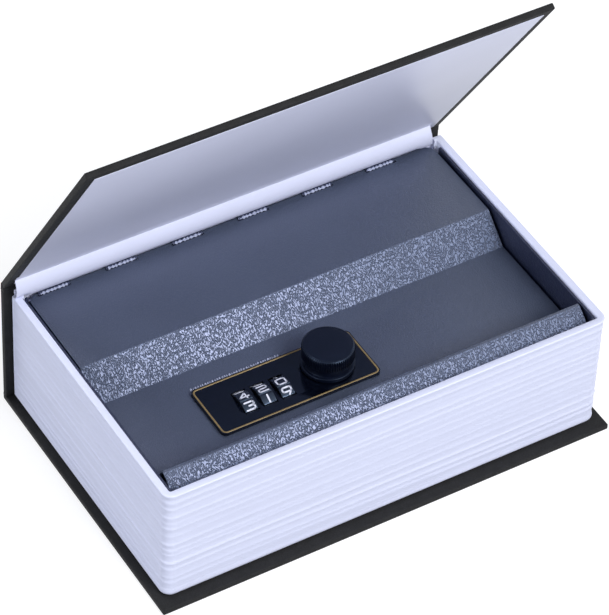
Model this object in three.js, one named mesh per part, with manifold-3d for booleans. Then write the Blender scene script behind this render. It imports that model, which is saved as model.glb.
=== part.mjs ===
// Book diversion safe: a hardback case round a moulded block of pages that holds a steel box.
// The box has a bent steel lid with a three wheel number lock and a turning knob.
// Millimetres. X runs along the spine, +Y points to the spine, Z is up.
// The origin is the middle of the back cover's underside.

import * as THREE from 'three';
import { mergeVertices } from 'three/addons/utils/BufferGeometryUtils.js';
import Module from 'manifold-3d';

const wasm = await Module();
wasm.setup();

// Whole book
const bookLength = 180;
const bookDepth = 116;
const bookHeight = 56.5;
const coverReach = 117.5;
const coverOpenAngle = 58.6;
const coverTrim = 3;

// Case: boards, leatherette and paper
const boardThick = 1.5;
const wrapThick = 0.35;
const glueGap = 0.05;
const turnInWidth = 14;
const foldGap = 0.7;
const foldSkinGap = 0.5;
const spineEndGap = 0.6;
const paperThick = 0.2;
const paperInsetEnd = 3.5;
const paperInsetFore = 3;
const paperInsetJoint = 3;
const backPaperInset = 6;
const liningThick = 0.4;
const liningInset = 4;
const seatGap = 0.3;
const overcut = 1;

// Block of pages
const pageInsetEnd = 2.6;
const pageInsetFore = 4.1;
const pageWall = 2.9;
const pageRearWall = 1.5;
const pageRimBelowTop = 4.5;
const pageRearDrop = 4.8;
const pageFrontCorner = 4;
const pageRearCorner = 1.5;
const pageToLining = 0.85;
const pageRimRound = 0.7;
const pageFootRound = 1.6;
const pageLedge = 14;
const pageLedgeThick = 1.5;
const ribCount = 14;
const ribDepth = 0.45;
const ribVariation = 0.38;
const ribDepthVariation = 0.3;
const ribValley = 0.15;

// Steel box
const boxSheet = 0.8;
const boxFit = 0.3;
const boxCorner = 1.6;
const boxRimDrop = 0.8;
const boxFrontDrop = 6.4;
const boxFrontFlange = 3;
const boxRearBelowLid = 0.65;
const tabRoot = 2;
const tabCount = 6;
const tabPitch = 26.5;
const tabWidth = 12;
const firstTabInset = 10.2;
const curlInner = 0.75;
const curlSheet = 0.4;
const curlEndAngle = -15;

// Lid
const lidSheet = 0.7;
const lidEndGap = 1.1;
const lidTopBelowRim = 2.05;
const lidRearStrip = 0.9;
const slotPlay = 0.4;
const channelRear = 72.8;
const channelRearFoot = 62.1;
const channelFrontFoot = 22;
const ridgeFromFore = 15.7;
const lidFrontFromFore = 8.6;
const channelDepth = 9.35;
const ridgeHeight = 11.9;
const lidFrontDrop = 5.7;
const lidBend = 1.2;
const lidRearCorner = 4;
const lidFrontCorner = 1.5;

// Number lock
const plateLength = 62.7;
const plateDepth = 23.4;
const plateThick = 1.2;
const plateCorner = 2;
const plateX = -20.05;
const plateFromFore = 40.4;
const wheelCount = 3;
const wheelPitch = 7.3;
const wheelFaces = 10;
const wheelRadius = 7.3;
const wheelWidth = 5;
const wheelRise = 2;
const wheelGroupOffset = -9.8;
const wheelForward = 1.5;
const wheelRestTurn = 10;
const wheelPlay = 0.3;
const sleeveRadius = 2.7;
const gateFlangeRadius = 3.7;
const gateFlangeThick = 0.8;
const gateWidth = 1.8;
const axleRadius = 1.2;
const housingLength = 56;
const housingDepth = 19;
const housingHeight = 11.6;
const housingWall = 1.5;
const partition = 0.7;
const springThick = 0.3;
const springPlay = 0.1;
const springStrip = 2;
const springFinger = 3;
const noseHalf = 2.2;
const springChannel = 1.7;
const basePlateThick = 0.8;
const screwRadius = 1.1;
const screwHeadRadius = 2.1;
const screwHeadThick = 1.2;
const bossRadius = 2.2;
const bossLength = 5;
const screwInset = 2.9;
const screwPlay = 0.2;
const pilotPlay = 0.15;
const axlePlay = 0.1;
const pressPlay = 0.15;
const axleSeat = 2;
const notchDepth = 0.35;
const notchHalfAngle = 0.09;
const leverTravel = 3;
const leverWidth = 4;
const leverStem = 2;
const leverFootThick = 1;
const leverFootGap = 0.2;
const leverPadThick = 1.3;
const leverPadGap = 0.3;
const leverFromEdge = 4.2;

// Knob, spindle and latch tongue
const knobOffset = 16.5;
const knobRearward = 0.2;
const knobRadius = 9.15;
const knobHeight = 10;
const knobFoot = 0.3;
const knobTeeth = 60;
const knobToothDepth = 0.3;
const knobGripFoot = 5.1;
const knobEdge = 0.8;
const knobCrown = 2;
const spindleRadius = 2.7;
const spindlePlay = 0.1;
const lidKnobHole = 4;
const spindleTipRadius = 2;
const spindleTipLength = 0.8;
const tongueThick = 1.5;
const tongueBelowPlate = 2.25;
const tongueHub = 6;
const tongueWidth = 10;
const tongueToWall = 2.5;
const tongueCorner = 2;
const nutAcrossFlats = 7;
const nutThick = 2.6;
const strikeThick = 1;
const strikeReach = 7;
const strikeRise = 8;
const strikeWidth = 24;

// Screws that hold the box in the book
const boxScrewRadius = 1.3;
const boxScrewHead = 2.8;
const boxScrewHeadThick = 1.4;
const boxScrewInset = 8.5;

// Places worked out from the sizes above
const coverThick = boardThick + 2 * (wrapThick + glueGap);
const foreEdge = -bookDepth / 2;
const spineFace = bookDepth / 2;
const rimZ = bookHeight - pageRimBelowTop;
const pageFootZ = coverThick + seatGap;
const pageHalf = bookLength / 2 - pageInsetEnd;
const pageFront = foreEdge + pageInsetFore;
const liningFace = spineFace - coverThick - glueGap - liningThick;
const pageRear = liningFace - pageToLining;
const boxHalf = pageHalf - pageWall - boxFit;
const boxFront = pageFront + pageWall + boxFit;
const boxRear = pageRear - pageRearWall - boxFit;
const boxFootZ = pageFootZ + pageLedgeThick + glueGap;
const boxRimZ = rimZ - boxRimDrop;
const lidHalf = boxHalf - boxSheet - lidEndGap;
const lidTopZ = rimZ - lidTopBelowRim;
const rearWallTopZ = lidTopZ - lidSheet - boxRearBelowLid;
const hingeZ = lidTopZ - lidSheet / 2;
const hingeY = boxRear + curlInner;
const curlOuter = curlInner + curlSheet;
const lidRear = hingeY + lidRearStrip / 2;
const flatZ = lidTopZ - channelDepth;
const lidUnderZ = flatZ - lidSheet;
const plateY = foreEdge + plateFromFore;
const plateTopZ = flatZ + plateThick;
const wheelY = plateY - wheelForward;
const wheelZ = plateTopZ + wheelRise - wheelRadius;
const wheelsX = plateX + wheelGroupOffset;
const housingTopZ = lidUnderZ - seatGap;
const housingFootZ = housingTopZ - housingHeight;
const basePlateZ = housingFootZ - glueGap - basePlateThick;
const knobX = plateX + knobOffset;
const knobY = plateY + knobRearward;
const tongueTopZ = basePlateZ - tongueBelowPlate;
const tongueReach = knobY - (boxFront + boxSheet + tongueToWall);
const boxScrewX = boxHalf - boxScrewInset;
const boxScrewFrontY = boxFront + boxScrewInset;
const boxScrewRearY = boxRear - boxScrewInset;

// Turn a three.js geometry into a solid and back

function solid(geometry) {
  const bare = geometry.index ? geometry.toNonIndexed() : geometry.clone();
  bare.deleteAttribute('normal');
  bare.deleteAttribute('uv');
  const merged = mergeVertices(bare, 1e-5);
  const mesh = new wasm.Mesh({
    numProp: 3,
    vertProperties: new Float32Array(merged.attributes.position.array),
    triVerts: new Uint32Array(merged.index.array),
  });
  return new wasm.Manifold(mesh);
}

function geometryOf(body) {
  const mesh = body.getMesh();
  const geometry = new THREE.BufferGeometry();
  geometry.setAttribute('position', new THREE.BufferAttribute(new Float32Array(mesh.vertProperties), 3));
  geometry.setIndex(new THREE.BufferAttribute(new Uint32Array(mesh.triVerts), 1));
  return geometry;
}

function joined(bodies) {
  return bodies.reduce((whole, body) => whole.add(body));
}

function cutBy(body, tools) {
  return tools.reduce((left, tool) => left.subtract(tool), body);
}

// Basic forms

function block(x0, x1, y0, y1, z0, z1) {
  const geometry = new THREE.BoxGeometry(x1 - x0, y1 - y0, z1 - z0);
  geometry.translate((x0 + x1) / 2, (y0 + y1) / 2, (z0 + z1) / 2);
  return solid(geometry);
}

function upright(shape, z0, z1, curveSegments = 3) {
  const geometry = new THREE.ExtrudeGeometry(shape, { depth: z1 - z0, bevelEnabled: false, curveSegments });
  geometry.translate(0, 0, z0);
  return solid(geometry);
}

// A profile drawn as (y, z) and pulled along X
function alongX(shape, x0, x1, curveSegments = 3) {
  const geometry = new THREE.ExtrudeGeometry(shape, { depth: x1 - x0, bevelEnabled: false, curveSegments });
  geometry.translate(0, 0, x0);
  const turn = new THREE.Matrix4();
  turn.makeBasis(new THREE.Vector3(0, 1, 0), new THREE.Vector3(0, 0, 1), new THREE.Vector3(1, 0, 0));
  geometry.applyMatrix4(turn);
  return solid(geometry);
}

// A profile drawn as (radius, height), turned round Z
function turned(points, segments = 32) {
  const profile = points.map(([radius, height]) => new THREE.Vector2(radius, height));
  const geometry = new THREE.LatheGeometry(profile, segments);
  geometry.rotateX(Math.PI / 2);
  return solid(geometry);
}

function rodUp(radius, x, y, z0, z1, segments = 14) {
  const geometry = new THREE.CylinderGeometry(radius, radius, z1 - z0, segments);
  geometry.rotateX(Math.PI / 2);
  geometry.translate(x, y, (z0 + z1) / 2);
  return solid(geometry);
}

function rodX(radius, x0, x1, y, z, segments = 20) {
  const geometry = new THREE.CylinderGeometry(radius, radius, x1 - x0, segments);
  geometry.rotateZ(Math.PI / 2);
  geometry.translate((x0 + x1) / 2, y, z);
  return solid(geometry);
}

// A rectangle with its own radius at the front and the rear corners
function roundedPlan(halfX, y0, y1, frontRadius, rearRadius, centreX = 0) {
  const shape = new THREE.Shape();
  const left = centreX - halfX;
  const right = centreX + halfX;
  shape.moveTo(left + frontRadius, y0);
  shape.lineTo(right - frontRadius, y0);
  shape.absarc(right - frontRadius, y0 + frontRadius, frontRadius, -Math.PI / 2, 0, false);
  shape.lineTo(right, y1 - rearRadius);
  shape.absarc(right - rearRadius, y1 - rearRadius, rearRadius, 0, Math.PI / 2, false);
  shape.lineTo(left + rearRadius, y1);
  shape.absarc(left + rearRadius, y1 - rearRadius, rearRadius, Math.PI / 2, Math.PI, false);
  shape.lineTo(left, y0 + frontRadius);
  shape.absarc(left + frontRadius, y0 + frontRadius, frontRadius, Math.PI, 1.5 * Math.PI, false);
  return shape;
}

// A sheet of even thickness whose middle follows corners (y, z), with rounded bends
function bentSheet(corners, thickness, bend, steps = 4) {
  const points = corners.map(([y, z]) => new THREE.Vector2(y, z));
  const line = [];
  const last = points.length - 1;
  points.forEach((corner, i) => {
    if (i === 0 || i === last) {
      const along = points[Math.min(i + 1, last)].clone().sub(points[Math.max(i - 1, 0)]).normalize();
      line.push({ at: corner, along });
      return;
    }
    const before = corner.clone().sub(points[i - 1]).normalize();
    const after = points[i + 1].clone().sub(corner).normalize();
    const turn = Math.atan2(before.x * after.y - before.y * after.x, before.dot(after));
    const side = Math.sign(turn);
    const start = corner.clone().addScaledVector(before, -bend * Math.tan(Math.abs(turn) / 2));
    const inward = new THREE.Vector2(-before.y, before.x).multiplyScalar(side);
    const centre = start.clone().addScaledVector(inward, bend);
    for (let step = 0; step <= steps; step += 1) {
      const angle = (turn * step) / steps;
      const along = before.clone().rotateAround(new THREE.Vector2(), angle);
      const outward = new THREE.Vector2(along.y, -along.x).multiplyScalar(side);
      line.push({ at: centre.clone().addScaledVector(outward, bend), along });
    }
  });
  const offset = (side) => line.map(({ at, along }) => new THREE.Vector2(
    at.x - (side * along.y * thickness) / 2,
    at.y + (side * along.x * thickness) / 2,
  ));
  return new THREE.Shape([...offset(1), ...offset(-1).reverse()]);
}

// Case panels lie flat: the outside is z = 0, the fold is y = 0 and the panel runs to -Y.
// The front cover and the spine are cut a little shorter at the right than the back cover.

function wrapShell(near, far, closedFar, trim) {
  const left = -bookLength / 2;
  const right = bookLength / 2 - trim;
  const cavityFar = closedFar ? far - wrapThick : far + overcut;
  const windowFar = closedFar ? far - turnInWidth : far + overcut;
  const shell = block(left, right, -far, -near, -coverThick, 0);
  const skinFar = closedFar ? far : bookHeight - foldSkinGap;
  const skin = block(left, right, -skinFar, -foldSkinGap, -wrapThick, 0);
  const cavity = block(
    left + wrapThick, right - wrapThick, -cavityFar, overcut, wrapThick - coverThick, -wrapThick,
  );
  const window = block(
    left + turnInWidth, right - turnInWidth, -windowFar, overcut,
    -coverThick - overcut, 2 * wrapThick - coverThick,
  );
  return cutBy(shell, [cavity, window]).add(skin);
}

function casePanelBoard(near, far, trim) {
  const inset = wrapThick + glueGap;
  return block(
    inset - bookLength / 2, bookLength / 2 - trim - inset, -far, -near, inset - coverThick, -inset,
  );
}

function frontWrap() {
  return wrapShell(foldGap, coverReach, true, coverTrim);
}

function frontBoard() {
  return casePanelBoard(foldGap + seatGap, coverReach - wrapThick - glueGap, coverTrim);
}

function frontPaper() {
  const top = -coverThick - glueGap;
  return block(
    paperInsetEnd - bookLength / 2, bookLength / 2 - coverTrim - paperInsetEnd,
    paperInsetFore - coverReach, -paperInsetJoint, top - paperThick, top,
  );
}

// The box screws bite into the back board, so what lies over it is drilled for them
function backScrewHoles() {
  const places = boxScrewPlaces();
  return places.map(([x, y]) => rodUp(
    boxScrewRadius + pressPlay, -x, y - spineFace, -2 * coverThick, -wrapThick - 2 * glueGap,
  ));
}

function backWrap() {
  return cutBy(wrapShell(foldGap, bookDepth, true, 0), backScrewHoles());
}

function backBoard() {
  const board = casePanelBoard(foldGap + seatGap, bookDepth - wrapThick - glueGap, 0);
  return cutBy(board, backScrewHoles());
}

// The paper on the back cover ends under the pages
function backPaper() {
  const half = bookLength / 2 - backPaperInset;
  const top = -coverThick - glueGap;
  const sheet = block(-half, half, backPaperInset - bookDepth, -paperInsetJoint, top - paperThick, top);
  return cutBy(sheet, backScrewHoles());
}

function spineLow() {
  return coverThick + spineEndGap;
}

function spineHigh() {
  return bookHeight - coverThick - glueGap - paperThick - seatGap;
}

function spineWrap() {
  return wrapShell(spineLow(), spineHigh(), false, coverTrim);
}

function spineBoard() {
  return casePanelBoard(spineLow() + glueGap, spineHigh() - glueGap, coverTrim);
}

function spineLining() {
  const top = -coverThick - glueGap;
  return block(
    liningInset - bookLength / 2, bookLength / 2 - coverTrim - liningInset,
    -spineHigh(), -spineLow(), top - liningThick, top,
  );
}

// Block of pages: a stack of rings whose edge swells and draws in like gathered leaves

// A repeatable uneven spread between -1 and 1
function uneven(i) {
  return Math.sin(2.4 * i + 0.7) * Math.cos(1.3 * i);
}

function ribLevels() {
  const weights = [];
  for (let i = 0; i < ribCount; i += 1) {
    weights.push(1 + ribVariation * uneven(i));
  }
  const total = weights.reduce((sum, weight) => sum + weight);
  const height = rimZ - pageFootZ;
  const levels = [];
  let z = pageFootZ;
  weights.forEach((weight, i) => {
    const rise = (height * weight) / total;
    const depth = ribDepth * (1 + ribDepthVariation * uneven(i + ribCount));
    levels.push([z, depth], [z + 0.3 * rise, ribValley * depth], [z + 0.7 * rise, ribValley * depth]);
    z += rise;
  });
  levels.push([rimZ, 0]);
  return levels;
}

function pageEdgeInset(z, depth) {
  const foot = Math.max(0, 1 - (z - pageFootZ) / pageFootRound);
  const rim = Math.max(0, 1 - (rimZ - z) / pageRimRound);
  return depth * (1 - rim) + pageFootRound * (1 - Math.sqrt(1 - foot ** 2)) + pageRimRound * rim ** 2;
}

function pageBody() {
  const levels = ribLevels().filter(([z]) => z < rimZ - 2 * pageRimRound && z > pageFootZ + pageFootRound);
  levels.unshift([pageFootZ, 0], [pageFootZ + pageFootRound / 4, 0], [pageFootZ + pageFootRound, 0]);
  levels.push([rimZ - pageRimRound, 0], [rimZ - pageRimRound / 4, 0], [rimZ, 0]);
  const rings = levels.map(([z, depth]) => {
    const inset = pageEdgeInset(z, depth);
    const shape = roundedPlan(
      pageHalf - inset, pageFront + inset, pageRear - inset / 4,
      pageFrontCorner - inset / 2, pageRearCorner - inset / 4,
    );
    return outlinePoints(shape, 3).map((point) => new THREE.Vector3(point.x, point.y, z));
  });
  return ringStack(rings);
}

// A shape's outline without the points that its lines and arcs share
function outlinePoints(shape, divisions) {
  const points = shape.getPoints(divisions);
  return points.filter((point, i) => point.distanceTo(points[(i + 1) % points.length]) > 1e-6);
}

// Joins rings of equally many points into one closed body
function ringStack(rings) {
  const count = rings[0].length;
  const positions = rings.flat();
  const index = [];
  for (let level = 0; level < rings.length - 1; level += 1) {
    for (let i = 0; i < count; i += 1) {
      const a = level * count + i;
      const b = level * count + ((i + 1) % count);
      index.push(a, b, b + count, a, b + count, a + count);
    }
  }
  const cap = THREE.ShapeUtils.triangulateShape(rings[0].map((p) => new THREE.Vector2(p.x, p.y)), []);
  const top = (rings.length - 1) * count;
  cap.forEach(([a, b, c]) => {
    index.push(a, c, b);
    index.push(top + a, top + b, top + c);
  });
  const geometry = new THREE.BufferGeometry().setFromPoints(positions);
  geometry.setIndex(index);
  return solid(geometry);
}

function pageBlock() {
  const innerHalf = pageHalf - pageWall;
  const innerFront = pageFront + pageWall;
  const innerRear = pageRear - pageRearWall;
  const ledgeTop = pageFootZ + pageLedgeThick;
  const wellPlan = roundedPlan(innerHalf, innerFront, innerRear, boxCorner, boxCorner);
  const well = upright(wellPlan, ledgeTop, rimZ + overcut);
  const floorHole = upright(
    roundedPlan(innerHalf - pageLedge, innerFront + pageLedge, innerRear - pageLedge, boxCorner, boxCorner),
    pageFootZ - overcut, ledgeTop + overcut,
  );
  const rearCut = block(
    -innerHalf + boxCorner, innerHalf - boxCorner,
    innerRear - overcut, pageRear + overcut, rimZ - pageRearDrop, rimZ + overcut,
  );
  const screwHoles = boxScrewPlaces().map(([x, y]) => rodUp(
    boxScrewRadius + pressPlay, x, y, pageFootZ - overcut, ledgeTop + overcut,
  ));
  return cutBy(pageBody(), [well, floorHole, rearCut, ...screwHoles]);
}

// Steel box

function boxScrewPlaces() {
  return [
    [-boxScrewX, boxScrewFrontY],
    [boxScrewX, boxScrewFrontY],
    [-boxScrewX, boxScrewRearY],
    [boxScrewX, boxScrewRearY],
  ];
}

function tabCentres() {
  const centres = [];
  for (let i = 0; i < tabCount; i += 1) {
    centres.push(-lidHalf + firstTabInset + i * tabPitch);
  }
  return centres;
}

// One hinge tab: pressed thin, it stands on the rear wall and curls back over the lid's rear strip
function tabProfile() {
  const shape = new THREE.Shape();
  const end = (curlEndAngle * Math.PI) / 180;
  shape.moveTo(boxRear - curlSheet, rearWallTopZ - tabRoot);
  shape.lineTo(boxRear, rearWallTopZ - tabRoot);
  shape.lineTo(boxRear, hingeZ);
  shape.absarc(hingeY, hingeZ, curlInner, Math.PI, end, true);
  shape.lineTo(hingeY + curlOuter * Math.cos(end), hingeZ + curlOuter * Math.sin(end));
  shape.absarc(hingeY, hingeZ, curlOuter, end, Math.PI, false);
  return shape;
}

function steelBox() {
  const innerCorner = boxCorner - boxSheet;
  const outer = upright(roundedPlan(boxHalf, boxFront, boxRear, boxCorner, boxCorner), boxFootZ, boxRimZ);
  const inner = upright(
    roundedPlan(boxHalf - boxSheet, boxFront + boxSheet, boxRear - boxSheet, innerCorner, innerCorner),
    boxFootZ + boxSheet, boxRimZ + overcut,
  );
  const clearX = boxHalf - boxCorner;
  const rearCut = block(
    -clearX, clearX, boxRear - 2 * boxSheet, boxRear + overcut, rearWallTopZ, boxRimZ + overcut,
  );
  const frontTop = rimZ - boxFrontDrop;
  const frontCut = block(
    -clearX, clearX, boxFront - overcut, boxFront + 2 * boxSheet, frontTop, boxRimZ + overcut,
  );
  const flangeInner = boxFront + boxSheet + boxFrontFlange;
  const flange = block(-clearX, clearX, boxFront, flangeInner, frontTop - boxSheet, frontTop);
  const tabs = tabCentres().map((x) => alongX(tabProfile(), x - tabWidth / 2, x + tabWidth / 2, 5));
  const screwHoles = boxScrewPlaces().map(([x, y]) => rodUp(
    boxScrewRadius + pressPlay, x, y, boxFootZ - overcut, boxFootZ + boxSheet + overcut,
  ));
  return joined([cutBy(outer, [inner, rearCut, frontCut, ...screwHoles]), flange, ...tabs]);
}

function strikeBracket() {
  const wall = boxFront + boxSheet;
  const low = tongueTopZ + seatGap;
  const corners = [
    [wall + strikeThick / 2 + glueGap, low + strikeRise],
    [wall + strikeThick / 2 + glueGap, low + strikeThick / 2],
    [wall + strikeReach, low + strikeThick / 2],
  ];
  const angle = bentSheet(corners, strikeThick, strikeThick);
  return alongX(angle, knobX - strikeWidth / 2, knobX + strikeWidth / 2);
}

function boxScrew() {
  const tip = -(boxFootZ + boxSheet - wrapThick - seatGap);
  return turned([
    [0, tip], [boxScrewRadius * 0.4, tip], [boxScrewRadius, tip + 1], [boxScrewRadius, glueGap],
    [boxScrewHead, glueGap], [boxScrewHead * 0.92, boxScrewHeadThick * 0.6],
    [boxScrewHead * 0.55, boxScrewHeadThick], [0, boxScrewHeadThick],
  ], 14);
}

// Lid: one bent sheet, high at the rear, a channel for the lock and a ridge along the front

function lidProfile() {
  const mid = lidSheet / 2;
  return bentSheet([
    [lidRear, lidTopZ - mid],
    [foreEdge + channelRear, lidTopZ - mid],
    [foreEdge + channelRearFoot, flatZ - mid],
    [foreEdge + channelFrontFoot, flatZ - mid],
    [foreEdge + ridgeFromFore, flatZ + ridgeHeight - mid],
    [foreEdge + lidFrontFromFore, flatZ + ridgeHeight - mid - lidFrontDrop],
  ], lidSheet, lidBend);
}

function lockScrewPlaces() {
  const halfX = housingLength / 2 - screwInset;
  const halfY = housingDepth / 2 - screwInset;
  return [[-halfX, -halfY], [halfX, -halfY], [-halfX, halfY], [halfX, halfY]]
    .map(([x, y]) => [plateX + x, plateY + y]);
}

function wheelCentres() {
  const centres = [];
  for (let i = 0; i < wheelCount; i += 1) {
    centres.push(wheelsX + (i - (wheelCount - 1) / 2) * wheelPitch);
  }
  return centres;
}

function wheelPack() {
  const span = ((wheelCount - 1) * wheelPitch + wheelWidth) / 2 + gateFlangeThick + 2 * wheelPlay;
  return [wheelsX - span, wheelsX + span];
}

function lidPanel() {
  const sheet = alongX(lidProfile(), -lidHalf, lidHalf);
  const front = foreEdge + lidFrontFromFore - overcut;
  const plan = roundedPlan(lidHalf, front, lidRear, lidFrontCorner, lidRearCorner);
  const trimmed = sheet.intersect(upright(plan, lidUnderZ - overcut, rimZ + ridgeHeight));
  const slotHalf = tabWidth / 2 + slotPlay;
  const slots = tabCentres().map((x) => block(
    x - slotHalf, x + slotHalf, hingeY - curlOuter - slotPlay, hingeY - lidRearStrip / 2,
    lidTopZ - lidSheet - overcut, lidTopZ + overcut,
  ));
  const [packLeft, packRight] = wheelPack();
  const wheelHole = block(
    packLeft, packRight, wheelY - wheelRadius - wheelPlay, wheelY + wheelRadius + wheelPlay,
    lidUnderZ - overcut, flatZ + overcut,
  );
  const knobHole = rodUp(lidKnobHole, knobX, knobY, lidUnderZ - overcut, flatZ + overcut, 24);
  const bossHoles = lockScrewPlaces().map(([x, y]) => rodUp(
    bossRadius + seatGap, x, y, lidUnderZ - overcut, flatZ + overcut,
  ));
  return cutBy(trimmed, [...slots, wheelHole, knobHole, ...bossHoles]);
}

// Number lock

function lockFaceplate() {
  const y0 = plateY - plateDepth / 2;
  const y1 = plateY + plateDepth / 2;
  const plan = roundedPlan(plateLength / 2, y0, y1, plateCorner, plateCorner, plateX);
  const plate = upright(plan, flatZ + glueGap, plateTopZ);
  const windows = wheelCentres().map((x) => rodX(
    wheelRadius + wheelPlay, x - wheelWidth / 2 - wheelPlay, x + wheelWidth / 2 + wheelPlay,
    wheelY, wheelZ, 48,
  ));
  const hole = rodUp(spindleRadius + spindlePlay, knobX, knobY, flatZ - overcut, plateTopZ + overcut, 24);
  const bosses = lockScrewPlaces().map(([x, y]) => rodUp(
    bossRadius, x, y, flatZ - bossLength, flatZ + plateThick / 2,
  ));
  const pilots = lockScrewPlaces().map(([x, y]) => rodUp(
    screwRadius + pilotPlay, x, y, flatZ - bossLength - overcut, flatZ - pilotPlay,
  ));
  return cutBy(joined([plate, ...bosses]), [...windows, hole, ...pilots]);
}

function lockHousing() {
  const x0 = plateX - housingLength / 2;
  const y0 = plateY - housingDepth / 2;
  const y1 = plateY + housingDepth / 2;
  const plan = roundedPlan(housingLength / 2, y0, y1, housingWall, housingWall, plateX);
  const body = upright(plan, housingFootZ, housingTopZ);
  const wellRear = wheelY + wheelRadius + wheelPlay;
  const wells = wheelCentres().map((x) => block(
    x - wheelWidth / 2 - wheelPlay, x + wheelPitch - wheelWidth / 2 - wheelPlay - partition,
    wheelY - wheelRadius - wheelPlay, wellRear + glueGap,
    wheelZ - wheelRadius - wheelPlay, housingTopZ + overcut,
  ));
  const [packLeft, packRight] = wheelPack();
  const springRoom = block(
    packLeft, packRight, wellRear, wellRear + springChannel,
    wheelZ - wheelRadius - wheelPlay, housingTopZ + overcut,
  );
  const axleHole = rodX(axleRadius + axlePlay, x0 + housingWall, packRight + axleSeat, wheelY, wheelZ);
  const bore = rodUp(
    spindleRadius + spindlePlay, knobX, knobY, housingFootZ - overcut, housingTopZ + overcut, 24,
  );
  const bossHoles = lockScrewPlaces().map(([x, y]) => rodUp(
    bossRadius + seatGap, x, y, flatZ - bossLength - seatGap, housingTopZ + overcut,
  ));
  const screwHoles = lockScrewPlaces().map(([x, y]) => rodUp(
    screwRadius + screwPlay, x, y, housingFootZ - overcut, housingTopZ + overcut,
  ));
  const [leverX, leverY] = leverPlace();
  const leverRoom = block(
    leverX - leverWidth / 2 - seatGap, leverX + leverWidth / 2 + leverTravel + seatGap,
    leverY - leverWidth / 2 - seatGap, leverY + leverWidth / 2 + seatGap,
    housingFootZ - overcut, housingFootZ + leverFootGap + leverFootThick + seatGap,
  );
  return cutBy(body, [...wells, springRoom, axleHole, bore, ...bossHoles, ...screwHoles, leverRoom]);
}

function wheelAxle() {
  const [, packRight] = wheelPack();
  const left = plateX - housingLength / 2 + housingWall + seatGap;
  return rodX(axleRadius, left, packRight + axleSeat - seatGap, wheelY, wheelZ);
}

// A wheel is drawn round the X axis, with a finger notch at each edge between two digits.
// At rest it is turned so that two digits show in the window.
function numberWheel() {
  const outline = [];
  const corner = (angle, radius) => new THREE.Vector2(radius * Math.cos(angle), radius * Math.sin(angle));
  const restTurn = THREE.MathUtils.degToRad(wheelRestTurn);
  for (let i = 0; i < wheelFaces; i += 1) {
    const edge = restTurn + ((i + 0.5) * 2 * Math.PI) / wheelFaces;
    outline.push(corner(edge - notchHalfAngle, wheelRadius));
    outline.push(corner(edge, wheelRadius - notchDepth));
    outline.push(corner(edge + notchHalfAngle, wheelRadius));
  }
  const ring = alongX(new THREE.Shape(outline), -wheelWidth / 2, wheelWidth / 2);
  const bore = rodX(sleeveRadius + pressPlay, -wheelWidth, wheelWidth, 0, 0);
  return ring.subtract(bore);
}

// The sleeve turns with its wheel, and its flange holds the gate that frees the lock
function gateSleeve() {
  const right = wheelWidth / 2 + axlePlay;
  const tube = rodX(sleeveRadius, -wheelWidth / 2, right + gateFlangeThick, 0, 0);
  const flange = rodX(gateFlangeRadius, right, right + gateFlangeThick, 0, 0);
  const bore = rodX(axleRadius + axlePlay, -wheelWidth, wheelWidth, 0, 0);
  const gate = block(
    right - axlePlay, right + gateFlangeThick + overcut, -gateWidth / 2, gateWidth / 2,
    -gateFlangeRadius - overcut, -sleeveRadius,
  );
  return cutBy(tube.add(flange), [bore, gate]);
}

// A comb of spring fingers behind the wheels, each with a nose that sits between two digits
function detentSpring() {
  const [packLeft, packRight] = wheelPack();
  const back = wheelY + wheelRadius + wheelPlay + springChannel - springThick / 2 - springPlay;
  const low = wheelZ - wheelRadius + springPlay;
  const strip = block(
    packLeft + seatGap, packRight - seatGap, back - springThick / 2, back + springThick / 2,
    low, low + springStrip,
  );
  const noseY = wheelY + wheelRadius + wheelPlay + springThick;
  const notchBelow = THREE.MathUtils.degToRad(180 / wheelFaces - wheelRestTurn);
  const noseZ = wheelZ - wheelRadius * Math.sin(notchBelow);
  const corners = [
    [back, low + springStrip / 2], [back, noseZ - noseHalf], [noseY, noseZ], [back, noseZ + noseHalf],
  ];
  const fingers = wheelCentres().map((x) => alongX(
    bentSheet(corners, springThick, 2 * springThick, 3), x - springFinger / 2, x + springFinger / 2,
  ));
  return joined([strip, ...fingers]);
}

function leverPlace() {
  return [wheelsX - leverTravel / 2, plateY - housingDepth / 2 + leverFromEdge];
}

function lockBasePlate() {
  const y0 = plateY - housingDepth / 2;
  const y1 = plateY + housingDepth / 2;
  const top = housingFootZ - glueGap;
  const plan = roundedPlan(housingLength / 2, y0, y1, housingWall, housingWall, plateX);
  const plate = upright(plan, basePlateZ, top);
  const low = basePlateZ - overcut;
  const bore = rodUp(spindleRadius + spindlePlay, knobX, knobY, low, top + overcut, 24);
  const screwHoles = lockScrewPlaces().map(([x, y]) => rodUp(
    screwRadius + screwPlay, x, y, low, top + overcut,
  ));
  const [leverX, leverY] = leverPlace();
  const slot = block(
    leverX - leverStem / 2 - seatGap, leverX + leverStem / 2 + leverTravel + seatGap,
    leverY - leverStem / 2 - seatGap, leverY + leverStem / 2 + seatGap, low, top + overcut,
  );
  return cutBy(plate, [bore, ...screwHoles, slot]);
}

// The lever that is moved to set a new number: foot, stem and finger pad
function resetLever() {
  const half = leverWidth / 2;
  const stem = leverStem / 2;
  const footZ = basePlateThick + glueGap + leverFootGap;
  const foot = block(-half, half, -half, half, footZ, footZ + leverFootThick);
  const post = block(-stem, stem, -stem, stem, -leverPadThick / 2, footZ + leverFootThick / 2);
  const pad = block(-half, half, -stem, stem, -leverPadGap - leverPadThick, -leverPadGap);
  return joined([foot, post, pad]);
}

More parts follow.
